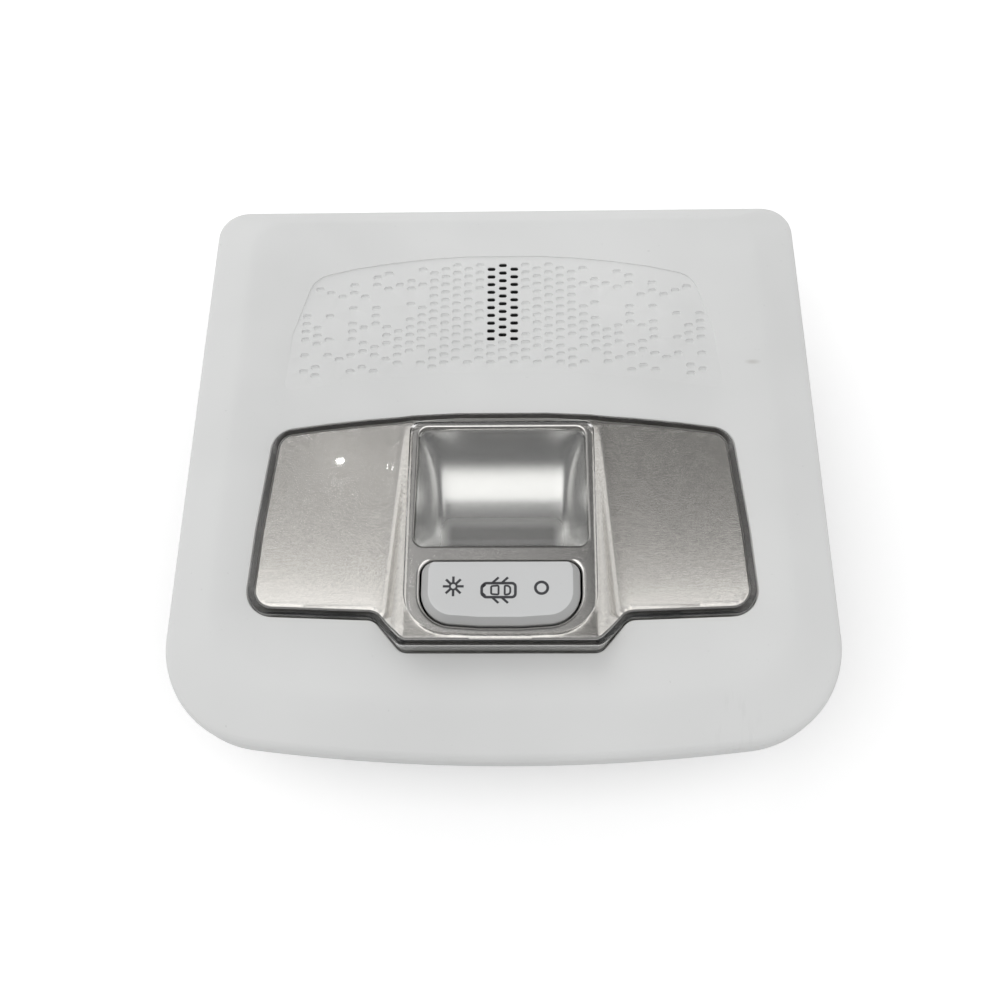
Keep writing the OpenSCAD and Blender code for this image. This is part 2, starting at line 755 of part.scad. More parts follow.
// Rocker switch
module rocker_blank(d) {
    intersection() {
        slab(inset(rocker_line, d), pivot_z - 4, wing_z + 10);
        on_tongue()
            translate([-40, -80, -20])
                cube([80, 100, 20 - 0.2 - d]);
        translate([0, 0, pivot_z + 1.2 - d])
            linear_extrude(20)
                square(200, center = true);
    }
}

module rocker() color("whitesmoke") {
    difference() {
        intersection() {
            rocker_blank(0);
            on_tongue()
                loft([at_z(inset(rocker_line, -1), -14), at_z(inset(rocker_line, -1), -1.9),
                      at_z(inset(rocker_line, rocker_bevel * 0.35), -0.85),
                      at_z(inset(rocker_line, rocker_bevel), -0.2)]);
        }
        rocker_blank(rocker_wall);
    }
    for (y = [-rocker_top_y - 2.2, -rocker_near_y + 0.8])
        translate([-3.4, y, pivot_z - 1.8])
            cube([6.8, 1.4, 6]);
    trunnion_out = 1.5;
    translate([0, -rocker_near_y - trunnion_out, pivot_z])
        rotate([-90, 0, 0])
            cylinder(r = pivot_r, h = trunnion_out + 1.6);
    translate([0, -rocker_top_y + trunnion_out, pivot_z])
        rotate([90, 0, 0])
            cylinder(r = pivot_r, h = trunnion_out + 1.6);
    translate([-1, slide_y - 2, ball_z])
        cube([2, 4, tongue_z(slide_y) - 1 - ball_z]);
    translate([0, slide_y + 2, ball_z])
        rotate([90, 0, 0])
            cylinder(r = ball_r, h = 4);
}

frame_half_w = 16;
frame_wall = 1.3;
frame_near_y = -rocker_near_y - 0.4 - frame_wall;
frame_far_y = -rocker_top_y + 0.4 + frame_wall;
// The frame's walls stay clear of the rocker's skirt at full tilt
frame_top_z = pivot_z - 2.4 - frame_half_w * tan(rocker_tilt);
strip_z = deck_top_z + 4;
strip_t = 0.6;
slider_half_l = 7;
slider_half_w = 4;
slider_z = strip_z + strip_t + 1;
ledge_z = slider_z + 1.6;

module switch_frame() color("darkslategray") {
    difference() {
        union() {
            translate([-frame_half_w, frame_near_y, deck_top_z])
                cube([2 * frame_half_w, frame_far_y - frame_near_y, frame_top_z - deck_top_z]);
            for (y = [frame_near_y, frame_far_y - frame_wall])
                translate([-5, y, frame_top_z - 0.2])
                    cube([10, frame_wall, pivot_z + 2.6 - frame_top_z + 0.2]);
        }
        translate([-frame_half_w + frame_wall, frame_near_y + frame_wall, strip_z])
            cube([2 * (frame_half_w - frame_wall), frame_far_y - frame_near_y - 2 * frame_wall, 30]);
        translate([-frame_half_w + frame_wall, frame_near_y + frame_wall, deck_top_z - over])
            cube([2 * (frame_half_w - frame_wall), frame_far_y - frame_near_y - 2 * frame_wall, 2 + over]);
        translate([0, frame_near_y - over, pivot_z])
            rotate([-90, 0, 0])
                cylinder(r = pivot_r + run_gap, h = frame_far_y - frame_near_y + 2 * over);
        for (x = [-strip_pitch, 0, strip_pitch])
            translate([x - tail_w / 2 - 0.1, slide_y - 4.1, deck_top_z])
                cube([tail_w + 0.2, 1, 8]);
    }
    for (s = [-1, 1])
        translate([-10, slide_y + s * (slider_half_w + 0.3 + 0.7) - 0.7, strip_z - 0.2])
            cube([20, 1.4, ledge_z - strip_z + 0.2]);
}

module contact_slider() color("sienna") {
    difference() {
        union() {
            translate([-slider_half_l, slide_y - slider_half_w, slider_z])
                cube([2 * slider_half_l, 2 * slider_half_w, ball_z + 1.3 - slider_z]);
            translate([-slider_half_l, slide_y - slider_half_w - 1.3, ledge_z + 0.25])
                cube([2 * slider_half_l, 2 * slider_half_w + 2.6, 1.2]);
        }
        translate([-ball_r - 0.12, slide_y - 2.6, ball_z - 1.7])
            cube([2 * ball_r + 0.24, 5.2, 6]);
        for (x = [-2.4, 2.4])
            translate([x - 0.9 + sign(x) * 1.4, slide_y + slider_half_w + 1.3, ledge_z - over])
                cylinder(r = 0.9, h = 5);
    }
}

module bridge_contact() color("goldenrod") {
    z = strip_z + strip_t + 0.3;
    translate([0, slide_y + 2.4, 0])
        rotate([90, 0, 0])
            linear_extrude(2.6)
                polygon([[-6, slider_z], [-3.4, slider_z], [-2.4, z + 0.3], [-1.2, z + 0.3], [-0.6, slider_z],
                         [0.6, slider_z], [1.2, z + 0.3], [2.4, z + 0.3], [3.4, slider_z], [6, slider_z],
                         [6, slider_z - 0.3], [3.5, slider_z - 0.3], [2.5, z], [1.1, z], [0.5, slider_z - 0.3],
                         [-0.5, slider_z - 0.3], [-1.1, z], [-2.5, z], [-3.5, slider_z - 0.3],
                         [-6, slider_z - 0.3]]);
}

module detent_spring() color("silver") {
    y = slide_y + slider_half_w + 2.6;
    translate([0, 0, ledge_z + 0.2])
        linear_extrude(3)
            polygon([[-13.6, y + 1.4], [-8, y + 1.4], [-3, y - 0.2], [-1, y - 1], [1, y - 1], [3, y - 0.2],
                     [8, y + 1.4], [13.6, y + 1.4], [13.6, y + 1.8], [8, y + 1.8], [3, y + 0.2], [0.9, y - 0.6],
                     [-0.9, y - 0.6], [-3, y + 0.2], [-8, y + 1.8], [-13.6, y + 1.8]]);
}

module contact_strip(x) {
    color("goldenrod") {
        translate([x - strip_w / 2, slide_y - 3.9, strip_z])
            cube([strip_w, 7, strip_t]);
        translate([x - tail_w / 2, slide_y - 3.9, board_z - 1])
            cube([tail_w, 0.6, strip_z + strip_t - board_z + 1]);
    }
}

// Microphone
mic_far = 13;
mic_near = 12;
module mic_mesh() color("black") {
    translate([-5.5, slot_mid_y - mic_near + 0.5, under_z - 0.5])
        cube([11, mic_far + mic_near - 0.5, 0.5]);
}

capsule_r = 4.85;
module mic_boot() color("dimgray") {
    difference() {
        translate([-7, slot_mid_y - mic_near - 0.5, mic_z])
            cube([14, mic_far + mic_near + 1.5, under_z - 0.5 - mic_z]);
        translate([-4.6, slot_mid_y - mic_near + 1, under_z - 2.5])
            cube([9.2, mic_far + mic_near - 1.5, 3]);
        translate([0, slot_mid_y + 1, mic_z - over])
            cylinder(r = capsule_r + fit / 3, h = 5.6 + over);
    }
}

module mic_capsule() color("silver") {
    translate([0, slot_mid_y + 1, mic_z])
        difference() {
            cylinder(r = capsule_r, h = 5.5);
            translate([0, 0, 5.1])
                cylinder(r = 1, h = 1);
        }
}

bracket_t = 1.8;
module mic_bracket() color("dimgray") {
    difference() {
        union() {
            translate([-mic_boss_x, slot_mid_y - 6, mic_z - bracket_t])
                cube([2 * mic_boss_x, 14, bracket_t]);
            for (s = [-1, 1])
                translate([s * mic_boss_x, slot_mid_y + 1, mic_z - bracket_t])
                    cylinder(r = 4.4, h = bracket_t);
        }
        translate([0, slot_mid_y + 1, mic_z - bracket_t - over])
            cylinder(r = 3.4, h = bracket_t + 2 * over);
        for (s = [-1, 1])
            translate([s * mic_boss_x, slot_mid_y + 1, mic_z - bracket_t - over])
                cylinder(r = 1.3, h = bracket_t + 2 * over);
    }
}

// Metal spring clip that straddles a blade
clip_t = 0.7;
function flipped(p) = [for (i = [len(p) - 1:-1:0]) p[i]];
function other_side(p) = [for (q = p) [-q[0], q[1]]];
module spring_clip(p) {
    a = blade_t / 2 + fit;
    z0 = under_z - blade_l - 1;
    inner = [[a - 0.4, z0], [a, z0 + 0.8], [a, z0 + 6.5], [a + 2.2, z0 + 12], [a + 1.2, z0 + 15.5], [a + 1.8, z0 + 17]];
    outer = [for (i = [0:len(inner) - 1]) inner[i] + (i == 0 ? [0.1, -clip_t] : [clip_t, 0])];
    color("silver")
        translate([p[0], p[1] + blade_w / 2 - 1, 0])
            rotate([90, 0, 0])
                linear_extrude(blade_w - 2)
                    polygon(concat(outer, flipped(inner), other_side(inner), flipped(other_side(outer))));
}

module housing_screws() color("silver") {
    for (p = ear_places)
        translate([p[0], p[1], ear_z])
            screw(screw_r, ear_t + ear_boss_h, 3, 1.9);
}

module cover_screws() color("silver") {
    for (p = screw_places)
        translate([p[0], p[1], 1.2])
            screw(screw_r, 8, 2.9, 1.1);
}

module board_screws() color("silver") {
    for (p = board_holes)
        translate([p[0], p[1], board_z])
            screw(1.15, board_t + 2.4, 2.3, 1.2);
}

module mic_screws() color("silver") {
    for (s = [-1, 1])
        translate([s * mic_boss_x, slot_mid_y + 1, mic_z - bracket_t])
            screw(1.1, bracket_t + 5, 2.3, 1.4);
}

bezel();
lens_cover();
silver_trim();
window_lens();
reflector();
led_board();
led(-led_x);  // led_left
led(led_x);  // led_right
lamp_housing();
rear_cover();
circuit_board();
connector_header();
connector_pins();
resistor(-16);  // resistor_left
resistor(16);  // resistor_right
driver_chip();
rocker();
switch_frame();
contact_slider();
bridge_contact();
detent_spring();
contact_strip(-strip_pitch);  // contact_strip_left
contact_strip(0);  // contact_strip_mid
contact_strip(strip_pitch);  // contact_strip_right
mic_mesh();
mic_boot();
mic_capsule();
mic_bracket();
spring_clip(clip_places[0]);  // clip_far_left
spring_clip(clip_places[1]);  // clip_far_right
spring_clip(clip_places[2]);  // clip_near_left
spring_clip(clip_places[3]);  // clip_near_right
housing_screws();
cover_screws();
board_screws();
mic_screws();
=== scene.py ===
import bpy, bmesh, json, math
from math import sin, cos, tan, atan, atan2, acos, sqrt, radians, degrees, pi
from mathutils import Vector, Matrix, geometry

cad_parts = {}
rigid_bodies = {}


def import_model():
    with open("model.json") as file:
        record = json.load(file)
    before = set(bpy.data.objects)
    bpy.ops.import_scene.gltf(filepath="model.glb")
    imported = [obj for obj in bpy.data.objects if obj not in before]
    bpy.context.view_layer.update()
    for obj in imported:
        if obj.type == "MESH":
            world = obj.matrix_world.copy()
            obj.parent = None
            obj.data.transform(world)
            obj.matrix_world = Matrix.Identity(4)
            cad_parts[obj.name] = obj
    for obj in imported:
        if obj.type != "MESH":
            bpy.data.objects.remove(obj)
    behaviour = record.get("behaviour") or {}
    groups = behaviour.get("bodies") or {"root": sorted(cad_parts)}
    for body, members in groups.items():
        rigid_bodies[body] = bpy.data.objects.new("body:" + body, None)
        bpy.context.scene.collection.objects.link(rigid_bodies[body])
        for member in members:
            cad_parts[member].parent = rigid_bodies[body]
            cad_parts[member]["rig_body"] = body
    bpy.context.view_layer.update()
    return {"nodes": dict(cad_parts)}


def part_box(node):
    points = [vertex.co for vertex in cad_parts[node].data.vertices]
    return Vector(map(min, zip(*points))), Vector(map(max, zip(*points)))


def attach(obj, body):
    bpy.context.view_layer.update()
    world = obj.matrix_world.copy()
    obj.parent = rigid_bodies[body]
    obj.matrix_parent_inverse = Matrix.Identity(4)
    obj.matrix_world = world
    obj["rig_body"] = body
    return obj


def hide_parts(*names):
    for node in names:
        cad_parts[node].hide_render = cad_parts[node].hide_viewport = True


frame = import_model()
scene = bpy.context.scene
print("frame loaded:", len(frame["nodes"]), "nodes")

# measures of the part, in millimetres, as its source has them
dims = {
    "rimZ": 24, "faceZ": 36, "underZ": 33.6, "wall": 2.4, "wingZ": 38.2,
    "nearW": 84, "farW": 80.4, "nearY": 76.8, "farY": 76.6, "nearR": 26, "farR": 8, "bow": 3.8,
    "borderSide": 11.5, "borderNear": 14.3, "borderFar": 6, "borderR": 21,
    "lensTop": 12.4, "tongueHalf": 24.8, "slope": atan(5 / 63.4), "pivotY": -37.35, "pivotZ": 35, "peg": 25,
}
# outlines that bow: y in the middle, how far it falls, and the half width where it has fallen so far
bows = {"lensFar": (12.4, 4.8, 58.8), "grilleNear": (24.8, 5.2, 57.6), "grilleFar": (59.7, 4.7, 45),
        "cellsNear": (26.4, 5.2, 57.6), "cellsFar": (57.9, 5, 45)}
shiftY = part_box("bezel")[0].y * 1000 + dims["nearY"]      # the part may lie centred along Y
toFrame = Matrix.Translation((0, shiftY * 0.001, 0)) @ Matrix.Scale(0.001, 4)


# outlines, listed counter clockwise
def lerp(a, b, k):
    return a + (b - a) * k


def arcPoints(cx, cy, r, a0, a1, n):
    turns = [radians(lerp(a0, a1, i / n)) for i in range(n + 1)]
    return [(cx + r * cos(a), cy + r * sin(a)) for a in turns]


def bowAt(name, x):
    middle, fallen, half = bows[name]
    return middle - fallen * (x / half) ** 2


def bowed(name, xs):
    return [(x, bowAt(name, x), 0) for x in xs]


def roundedLine(corners, steps=12):
    line = []
    for i, (x, y, r) in enumerate(corners):
        if r <= 0:
            line.append((x, y))
            continue
        b = Vector((x, y))
        u = (Vector(corners[i - 1][:2]) - b).normalized()
        v = (Vector(corners[(i + 1) % len(corners)][:2]) - b).normalized()
        half = acos(max(-1, min(1, u.dot(v)))) / 2
        m = b + (u + v).normalized() * r / sin(half)
        s, e = b + u * r / tan(half), b + v * r / tan(half)
        a0, a1 = degrees(atan2(s.y - m.y, s.x - m.x)), degrees(atan2(e.y - m.y, e.x - m.x))
        line += arcPoints(m.x, m.y, r, a0, a0 + (a1 - a0 + 540) % 360 - 180, steps)
    return line


def insetLine(line, d):
    out = []
    for i, p in enumerate(line):
        a, b, c = Vector(line[i - 1]), Vector(p), Vector(line[(i + 1) % len(line)])
        u, v = (b - a).normalized(), (c - b).normalized()
        nu = Vector((-u.y, u.x))
        m = (nu + Vector((-v.y, v.x))).normalized()
        q = b + m * d / max(0.3, m.dot(nu))
        out.append((q.x, q.y))
    return out


def mirrored(right):
    return list(right) + [(-c[0],) + tuple(c[1:]) for c in reversed(right)]


def dense(line, step):
    out = []
    for i, p in enumerate(line):
        q = line[(i + 1) % len(line)]
        n = max(1, int(math.dist(p, q) / step))
        out += [(lerp(p[0], q[0], k / n), lerp(p[1], q[1], k / n)) for k in range(n)]
    return out


def between(a, b, k):
    return [(lerp(p[0], q[0], k), lerp(p[1], q[1], k)) for p, q in zip(a, b)]


def panelLine(side, near, far, nearR, farR):
    wn, wf, bow = dims["nearW"] - side, dims["farW"] - side, dims["bow"]
    lean = degrees(atan(2 * bow / (wn - nearR)))
    cy = -dims["nearY"] + near + bow + nearR * cos(radians(lean))
    xe = wn - nearR + nearR * sin(radians(lean))
    fy = dims["farY"] - far - farR

    def straight(p, q, n=20):
        return [(lerp(p[0], q[0], i / n), lerp(p[1], q[1], i / n)) for i in range(1, n)]
    a = arcPoints(wn - nearR, cy, nearR, lean - 90, 0, 20)
    b = arcPoints(wf - farR, fy, farR, 0, 90, 12)
    c = [(-x, y) for x, y in reversed(b)]
    d = [(-x, y) for x, y in reversed(a)]
    front = [(lerp(-xe, xe, i / 40), -dims["nearY"] + near + bow * (lerp(-1, 1, i / 40)) ** 2) for i in range(1, 40)]
    return a + straight(a[-1], b[0]) + b + straight(b[-1], c[0]) + c + straight(c[-1], d[0]) + d + front


def wallLine(inset):
    return panelLine(inset, inset, inset, dims["nearR"] - inset, dims["farR"] - inset)


outerLine, innerLine = wallLine(0), wallLine(dims["wall"])
creaseLine = panelLine(dims["borderSide"], dims["borderNear"], dims["borderFar"], dims["borderR"], dims["farR"])
lensLine = dense(roundedLine(mirrored(
    [(24.4, -50.8, 3.6), (31.3, -42.6, 4), (63.6, -41.4, 6.5), (62.2, -20, 0), (59.2, 7.6, 6)]
    + bowed("lensFar", (46, 34.5, 23, 11.5)))), 2.5)
wellLine = dense(roundedLine(mirrored([(7, -47.7, 0), (23.6, -47, 10.5), (23.6, 8.9, 2.6)])), 2.5)
windowLine = dense(roundedLine(mirrored([(21.8, -24.7, 2.6), (21.4, 8.2, 2.4)])), 2)
rockerLine = dense(roundedLine(mirrored([(5, -45.5, 0), (19.5, -44.5, 8), (19.5, -29.1, 3.2)])), 1.5)
grilleLine = dense(roundedLine(mirrored(
    bowed("grilleNear", (12, 27, 42)) + [(57.6, 19.4, 2), (56.4, 35.8, 0), (51.4, 53.1, 7)]
    + bowed("grilleFar", (40, 30, 20, 10)))), 2)


# mesh building, in millimetres
def ring(bm, line, z):
    return [bm.verts.new((x, y, z(x, y) if callable(z) else z)) for x, y in line]


def bridge(bm, a, b):
    n = len(a)
    for i in range(n):
        bm.faces.new((a[i], a[(i + 1) % n], b[(i + 1) % n], b[i]))


def stack(bm, rows):          # rings of (line, z) joined one to the next
    rings = [ring(bm, line, z) for line, z in rows]
    for a, b in zip(rings, rings[1:]):
        bridge(bm, a, b)
    return rings


def inside(line, x, y):
    hit = False
    for i, (x0, y0) in enumerate(line):
        x1, y1 = line[i - 1]
        if (y0 > y) != (y1 > y) and x < (x1 - x0) * (y - y0) / (y1 - y0) + x0:
            hit = not hit
    return hit


# triangles between an outline and its holes, with inner points every grid millimetres
def fill(bm, outer, holes, z, grid=0):
    points, edges = [], []
    for line in [outer] + list(holes):
        k = len(points)
        points += [Vector(p) for p in line]
        edges += [(k + i, k + (i + 1) % len(line)) for i in range(len(line))]
    if grid:
        clear, rowGap = grid * 0.6, grid * 0.87
        shrunk = insetLine(outer, clear)
        grown = [insetLine(h, -clear) for h in holes]
        xs, ys = [p[0] for p in outer], [p[1] for p in outer]
        j = 0
        y = min(ys)
        while y < max(ys):
            x = min(xs) + (grid / 2 if j % 2 else 0)
            while x < max(xs):
                if inside(shrunk, x, y) and not any(inside(h, x, y) for h in grown):
                    points.append(Vector((x, y)))
                x += grid
            y += rowGap
            j += 1
    verts, faces = triangles(points, edges)
    made = ring(bm, verts, z)
    for f in faces:
        bm.faces.new([made[i] for i in f])


# the triangles that are kept have an odd number of outlines between them and the outside
def triangles(points, edges):
    verts, lines, faces, _, origins, _ = geometry.delaunay_2d_cdt(points, edges, [], 0, 1e-5)
    walls = {frozenset(e) for e, origin in zip(lines, origins) if origin}
    sides = {}
    for k, f in enumerate(faces):
        for i in range(3):
            sides.setdefault(frozenset((f[i], f[i - 1])), []).append(k)
    level = {}
    for e, owners in sides.items():
        if len(owners) == 1 and owners[0] not in level:
            level[owners[0]] = int(e in walls)
    queue = list(level)
    while queue:
        k = queue.pop()
        for i in range(3):
            e = frozenset((faces[k][i], faces[k][i - 1]))
            for other in sides[e]:
                if other not in level:
                    level[other] = 1 - level[k] if e in walls else level[k]
                    queue.append(other)
    return verts, [f for k, f in enumerate(faces) if level[k]]


def addBox(bm, x0, y0, z0, x1, y1, z1):
    low, high = [ring(bm, ((x0, y0), (x1, y0), (x1, y1), (x0, y1)), z) for z in (z0, z1)]
    bm.faces.new(low[::-1])
    bm.faces.new(high)
    bridge(bm, low, high)


def circle(x, y, r, n):
    return [(x + r * cos(2 * pi * i / n), y + r * sin(2 * pi * i / n)) for i in range(n)]


# a solid turned round Z from (radius, z) rows; a first and last radius of 0 closes it
def addTurned(bm, x, y, profile, n=40, place=None):
    rings = [ring(bm, circle(x, y, r, n) if r else [(x, y)], z) for r, z in profile]
    for a, b in zip(rings, rings[1:]):
        for i in range(n):
            q = [a[i % len(a)], a[(i + 1) % len(a)], b[(i + 1) % len(b)], b[i % len(b)]]
            q = [v for k, v in enumerate(q) if v not in q[:k]]
            if len(q) > 2:
                bm.faces.new(q)
    if place:
        bmesh.ops.transform(bm, matrix=place, verts=[v for r in rings for v in r])


# a pin along Y through (0, z), from y0 to y1, with its ends narrowed
def addCrossPin(bm, z, y0, y1, thin, thick, taper):
    rows = [(0, y0), (thin, y0), (thick, y0 + taper), (thick, y1 - taper), (thin, y1), (0, y1)]
    addTurned(bm, 0, 0, rows, place=Matrix.Translation((0, 0, z)) @ Matrix.Rotation(radians(-90), 4, "X"))


def meshFrom(name, bm):
    mesh = bpy.data.meshes.new(name)
    bm.to_mesh(mesh)
    bm.free()
    return mesh


def newObject(name, data):
    obj = bpy.data.objects.new(name, data)
    scene.collection.objects.link(obj)
    return obj


def placePiece(name, mesh, body, replaced, angle):
    mesh.shade_smooth()
    mesh.set_sharp_from_angle(angle=radians(angle))
    piece = newObject(name, mesh)
    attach(piece, body)
    if replaced:
        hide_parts(*replaced)
    return piece


def finishPiece(name, bm, material, body, replaced=(), angle=32, second=None):
    bmesh.ops.remove_doubles(bm, verts=bm.verts, dist=2e-3)
    bmesh.ops.dissolve_degenerate(bm, dist=2e-4, edges=bm.edges)
    bmesh.ops.recalc_face_normals(bm, faces=bm.faces)
    mesh = meshFrom(name, bm)
    mesh.transform(toFrame)
    mesh.materials.append(material)
    if second:
        mesh.materials.append(second)
    return placePiece(name, mesh, body, replaced, angle)


# node helpers
class Nodes:
    def __init__(self, tree):
        self.tree = tree
        self.x = 0
        self.at = None

    def add(self, kind, ins=None, **settings):
        node = self.tree.nodes.new(kind)
        node.location = (self.x, 0)
        self.x += 180
        for k, v in settings.items():
            setattr(node, k, v)
        for k, v in (ins or {}).items():
            if isinstance(v, bpy.types.NodeSocket):
                self.tree.links.new(v, node.inputs[k])
            else:
                node.inputs[k].default_value = v
        return node

    def out(self, kind, ins=None, **settings):          # first output; a short kind is a shader node
        return self.add(kind if "Node" in kind else "ShaderNode" + kind, ins, **settings).outputs[0]

    @property
    def coord(self):          # Object coordinates, made once for a tree
        if self.at is None:
            self.at = self.add("ShaderNodeTexCoord").outputs["Object"]
        return self.at


def blank(data):
    data.use_nodes = True
    data.node_tree.nodes.clear()
    return data, Nodes(data.node_tree)


def endMaterial(n, surface):
    n.add("ShaderNodeOutputMaterial", {"Surface": surface})


def newMaterial(name, base, roughness, metallic=0.0):
    mat, n = blank(bpy.data.materials.new(name))
    ins = {"Base Color": (*base, 1), "Roughness": roughness, "Metallic": metallic}
    n.shader = n.add("ShaderNodeBsdfPrincipled", ins)
    endMaterial(n, n.shader.outputs[0])
    mat.diffuse_color = (*base, 1)
    return mat, n


def noise(n, scale, detail=3, stretch=None):
    at = n.out("Mapping", {"Vector": n.coord, "Scale": stretch}) if stretch else n.coord
    ins = {"Vector": at, "Scale": scale, "Detail": detail, "Roughness": 0.55}
    return n.add("ShaderNodeTexNoise", ins).outputs["Fac"]


def ramp(n, fac, lo, hi, a=0.0, b=1.0, kind="LINEAR"):
    ends = {"Value": fac, "From Min": lo, "From Max": hi, "To Min": a, "To Max": b}
    return n.out("MapRange", ends, interpolation_type=kind)


def mixColour(n, fac, a, b):
    a, b = [v if isinstance(v, bpy.types.NodeSocket) else (*v, 1) for v in (a, b)]
    return n.add("ShaderNodeMix", {0: fac, 6: a, 7: b}, data_type="RGBA").outputs[2]


def link(n, out, name):
    n.tree.links.new(out, n.shader.inputs[name])


def setBump(n, height, strength, distance):
    link(n, n.out("Bump", {"Height": height, "Strength": strength, "Distance": distance * 0.001}), "Normal")


def math2(n, op, a, b):
    return n.out("Math", {0: a, 1: b}, operation=op)


def mixShaders(n, fac, a, b):
    return n.out("MixShader", {0: fac, 1: a, 2: b})


def times(n, a, b):
    return math2(n, "MULTIPLY", a, b)


# materials
finish = {
    "bezel": (0.74, 0.745, 0.74), "rocker": (0.64, 0.645, 0.645), "silver": (0.74, 0.725, 0.70),
    # on the next line, the second colour is a dark tone painted as shade on the trough's near part
    "mirror": (0.86, 0.86, 0.85), "bareAndShade": (0.16, 0.157, 0.152), "mark": (0.36, 0.36, 0.35),
    "chip": (0.35, 0.33, 0.30),
}


def mouldedPlastic(name, base, roughness, grain=0.12, tone=0.04):
    mat, n = newMaterial(name, base, roughness)
    cloud = ramp(n, noise(n, 14, 3), 0.35, 0.7)
    col = mixColour(n, cloud, tuple(c * (1 - tone * 2) for c in base), base)
    speck = ramp(n, noise(n, 900, 2), 0.73, 0.80)
    col = mixColour(n, times(n, speck, 0.35), col, tuple(c * 0.62 for c in base))
    link(n, col, "Base Color")
    link(n, ramp(n, noise(n, 55, 4), 0.3, 0.75, roughness - 0.05, roughness + 0.08), "Roughness")
    setBump(n, noise(n, 2600, 2), grain, 0.05)
    n.colour = col
    return mat, n


def plainPlastic(name, base, roughness, **more):
    return mouldedPlastic(name, base, roughness, **more)[0]


bezelPlastic, bezelNodes = mouldedPlastic("bezelPlastic", finish["bezel"], 0.42)
rockerPlastic = plainPlastic("rockerPlastic", finish["rocker"], 0.34, grain=0.05, tone=0.02)
# darker grey for the rocker's bevels and sides: painted shade
rockerShadedFlank = plainPlastic("rockerShadedFlank", (0.45, 0.452, 0.45), 0.34, grain=0.05, tone=0.04)
bodyPlastic = plainPlastic("bodyPlastic", (0.028, 0.029, 0.031), 0.5, grain=0.2, tone=0.12)
framePlastic = plainPlastic("framePlastic", (0.07, 0.075, 0.08), 0.45, tone=0.1)
sliderPlastic = plainPlastic("sliderPlastic", (0.30, 0.16, 0.09), 0.42, tone=0.08)
connectorPlastic = plainPlastic("connectorPlastic", (0.66, 0.62, 0.52), 0.4, tone=0.05)
printInk = plainPlastic("printInk", (0.045, 0.045, 0.05), 0.5, grain=0.05)
# near-black painted shade for the sound slots' walls
slotShade = plainPlastic("slotShade", (0.035, 0.035, 0.036), 0.8, tone=0.1)
reflectorBare = plainPlastic("reflectorBare", (0.17, 0.168, 0.165), 0.5, grain=0.06, tone=0.05)
# dark bare plastic for the trim's edges; on the rim it is also painted shade for the dark band along the lens edge
trimBareAndShade = plainPlastic("trimBareAndShade", (0.10, 0.096, 0.09), 0.35, tone=0.1)
ledPackage = plainPlastic("ledPackage", (0.78, 0.74, 0.52), 0.35, tone=0.05)
componentBlack = plainPlastic("componentBlack", (0.02, 0.02, 0.022), 0.4, tone=0.15)
micRubber = plainPlastic("micRubber", (0.022, 0.022, 0.023), 0.75, tone=0.15)

# faint handling marks on the bezel, low on its right side and beside the lens
marks = {
    "streakAt": (0.0565, -0.068, 0.034), "streakShape": (1, 0.8, 0), "streakFade": (0.004, 0.0085),
    "spotAt": (0.066, 0.027, 0.036), "spotShape": (0.5, 1.4, 0), "spotFade": (0.0003, 0.0012),
    "streakShare": 0.07, "spotShare": 0.35,
}


def nearMark(n, mark):
    place = n.out("Mapping", {"Vector": n.coord, "Location": tuple(-c for c in marks[mark + "At"])})
    flat = n.out("VectorMath", {0: place, 1: marks[mark + "Shape"]}, operation="MULTIPLY")
    away = n.add("ShaderNodeVectorMath", {0: flat}, operation="LENGTH").outputs["Value"]
    return ramp(n, away, *marks[mark + "Fade"], 1, 0)


def addMarks(n):
    streak = ramp(n, noise(n, 160, 3, stretch=(6, 0.9, 1)), 0.52, 0.68)
    streak = times(n, streak, nearMark(n, "streak"))
    col = mixColour(n, times(n, streak, marks["streakShare"]), n.colour, finish["mark"])
    spot = times(n, nearMark(n, "spot"), marks["spotShare"])
    link(n, mixColour(n, spot, col, finish["chip"]), "Base Color")


addMarks(bezelNodes)


def makeSilver():
    base, roughness = finish["silver"], 0.15
    mat, n = newMaterial("silverFinish", base, roughness, metallic=1.0)
    flakes = n.add("ShaderNodeTexVoronoi", {"Vector": n.coord, "Scale": 5200}, feature="F1").outputs["Color"]
    sparkle = n.out("SeparateColor", {0: flakes})
    lines = noise(n, 300, 3, stretch=(1, 26, 1))
    tone = math2(n, "ADD", times(n, sparkle, 0.55), times(n, lines, 0.45))
    dark, light = tuple(c * 0.88 for c in base), tuple(min(1, c * 1.08) for c in base)
    link(n, mixColour(n, ramp(n, tone, 0.25, 0.75), dark, light), "Base Color")
    link(n, ramp(n, lines, 0.3, 0.7, roughness - 0.04, roughness + 0.04), "Roughness")
    setBump(n, math2(n, "ADD", sparkle, lines), 0.34, 0.012)
    return mat


silverFinish = makeSilver()


# glass that bends what is seen through it and lets the lamps' light straight through
def clearPlastic(name, tint, roughness, haze):
    mat, n = blank(bpy.data.materials.new(name))
    scuffs = ramp(n, noise(n, 420, 4, stretch=(1, 3, 1)), 0.42, 0.8, roughness, roughness + haze)
    glass = n.out("BsdfPrincipled", {"Base Color": (*tint, 1), "Roughness": scuffs, "IOR": 1.49,
                                     "Transmission Weight": 1.0})
    through = n.out("BsdfTransparent", {"Color": (*tint, 1)})
    path = n.add("ShaderNodeLightPath").outputs
    either = math2(n, "MAXIMUM", path["Is Shadow Ray"], path["Is Diffuse Ray"])
    endMaterial(n, mixShaders(n, either, glass, through))
    return mat


clearLens = clearPlastic("clearLens", (0.965, 0.96, 0.95), 0.012, 0.007)


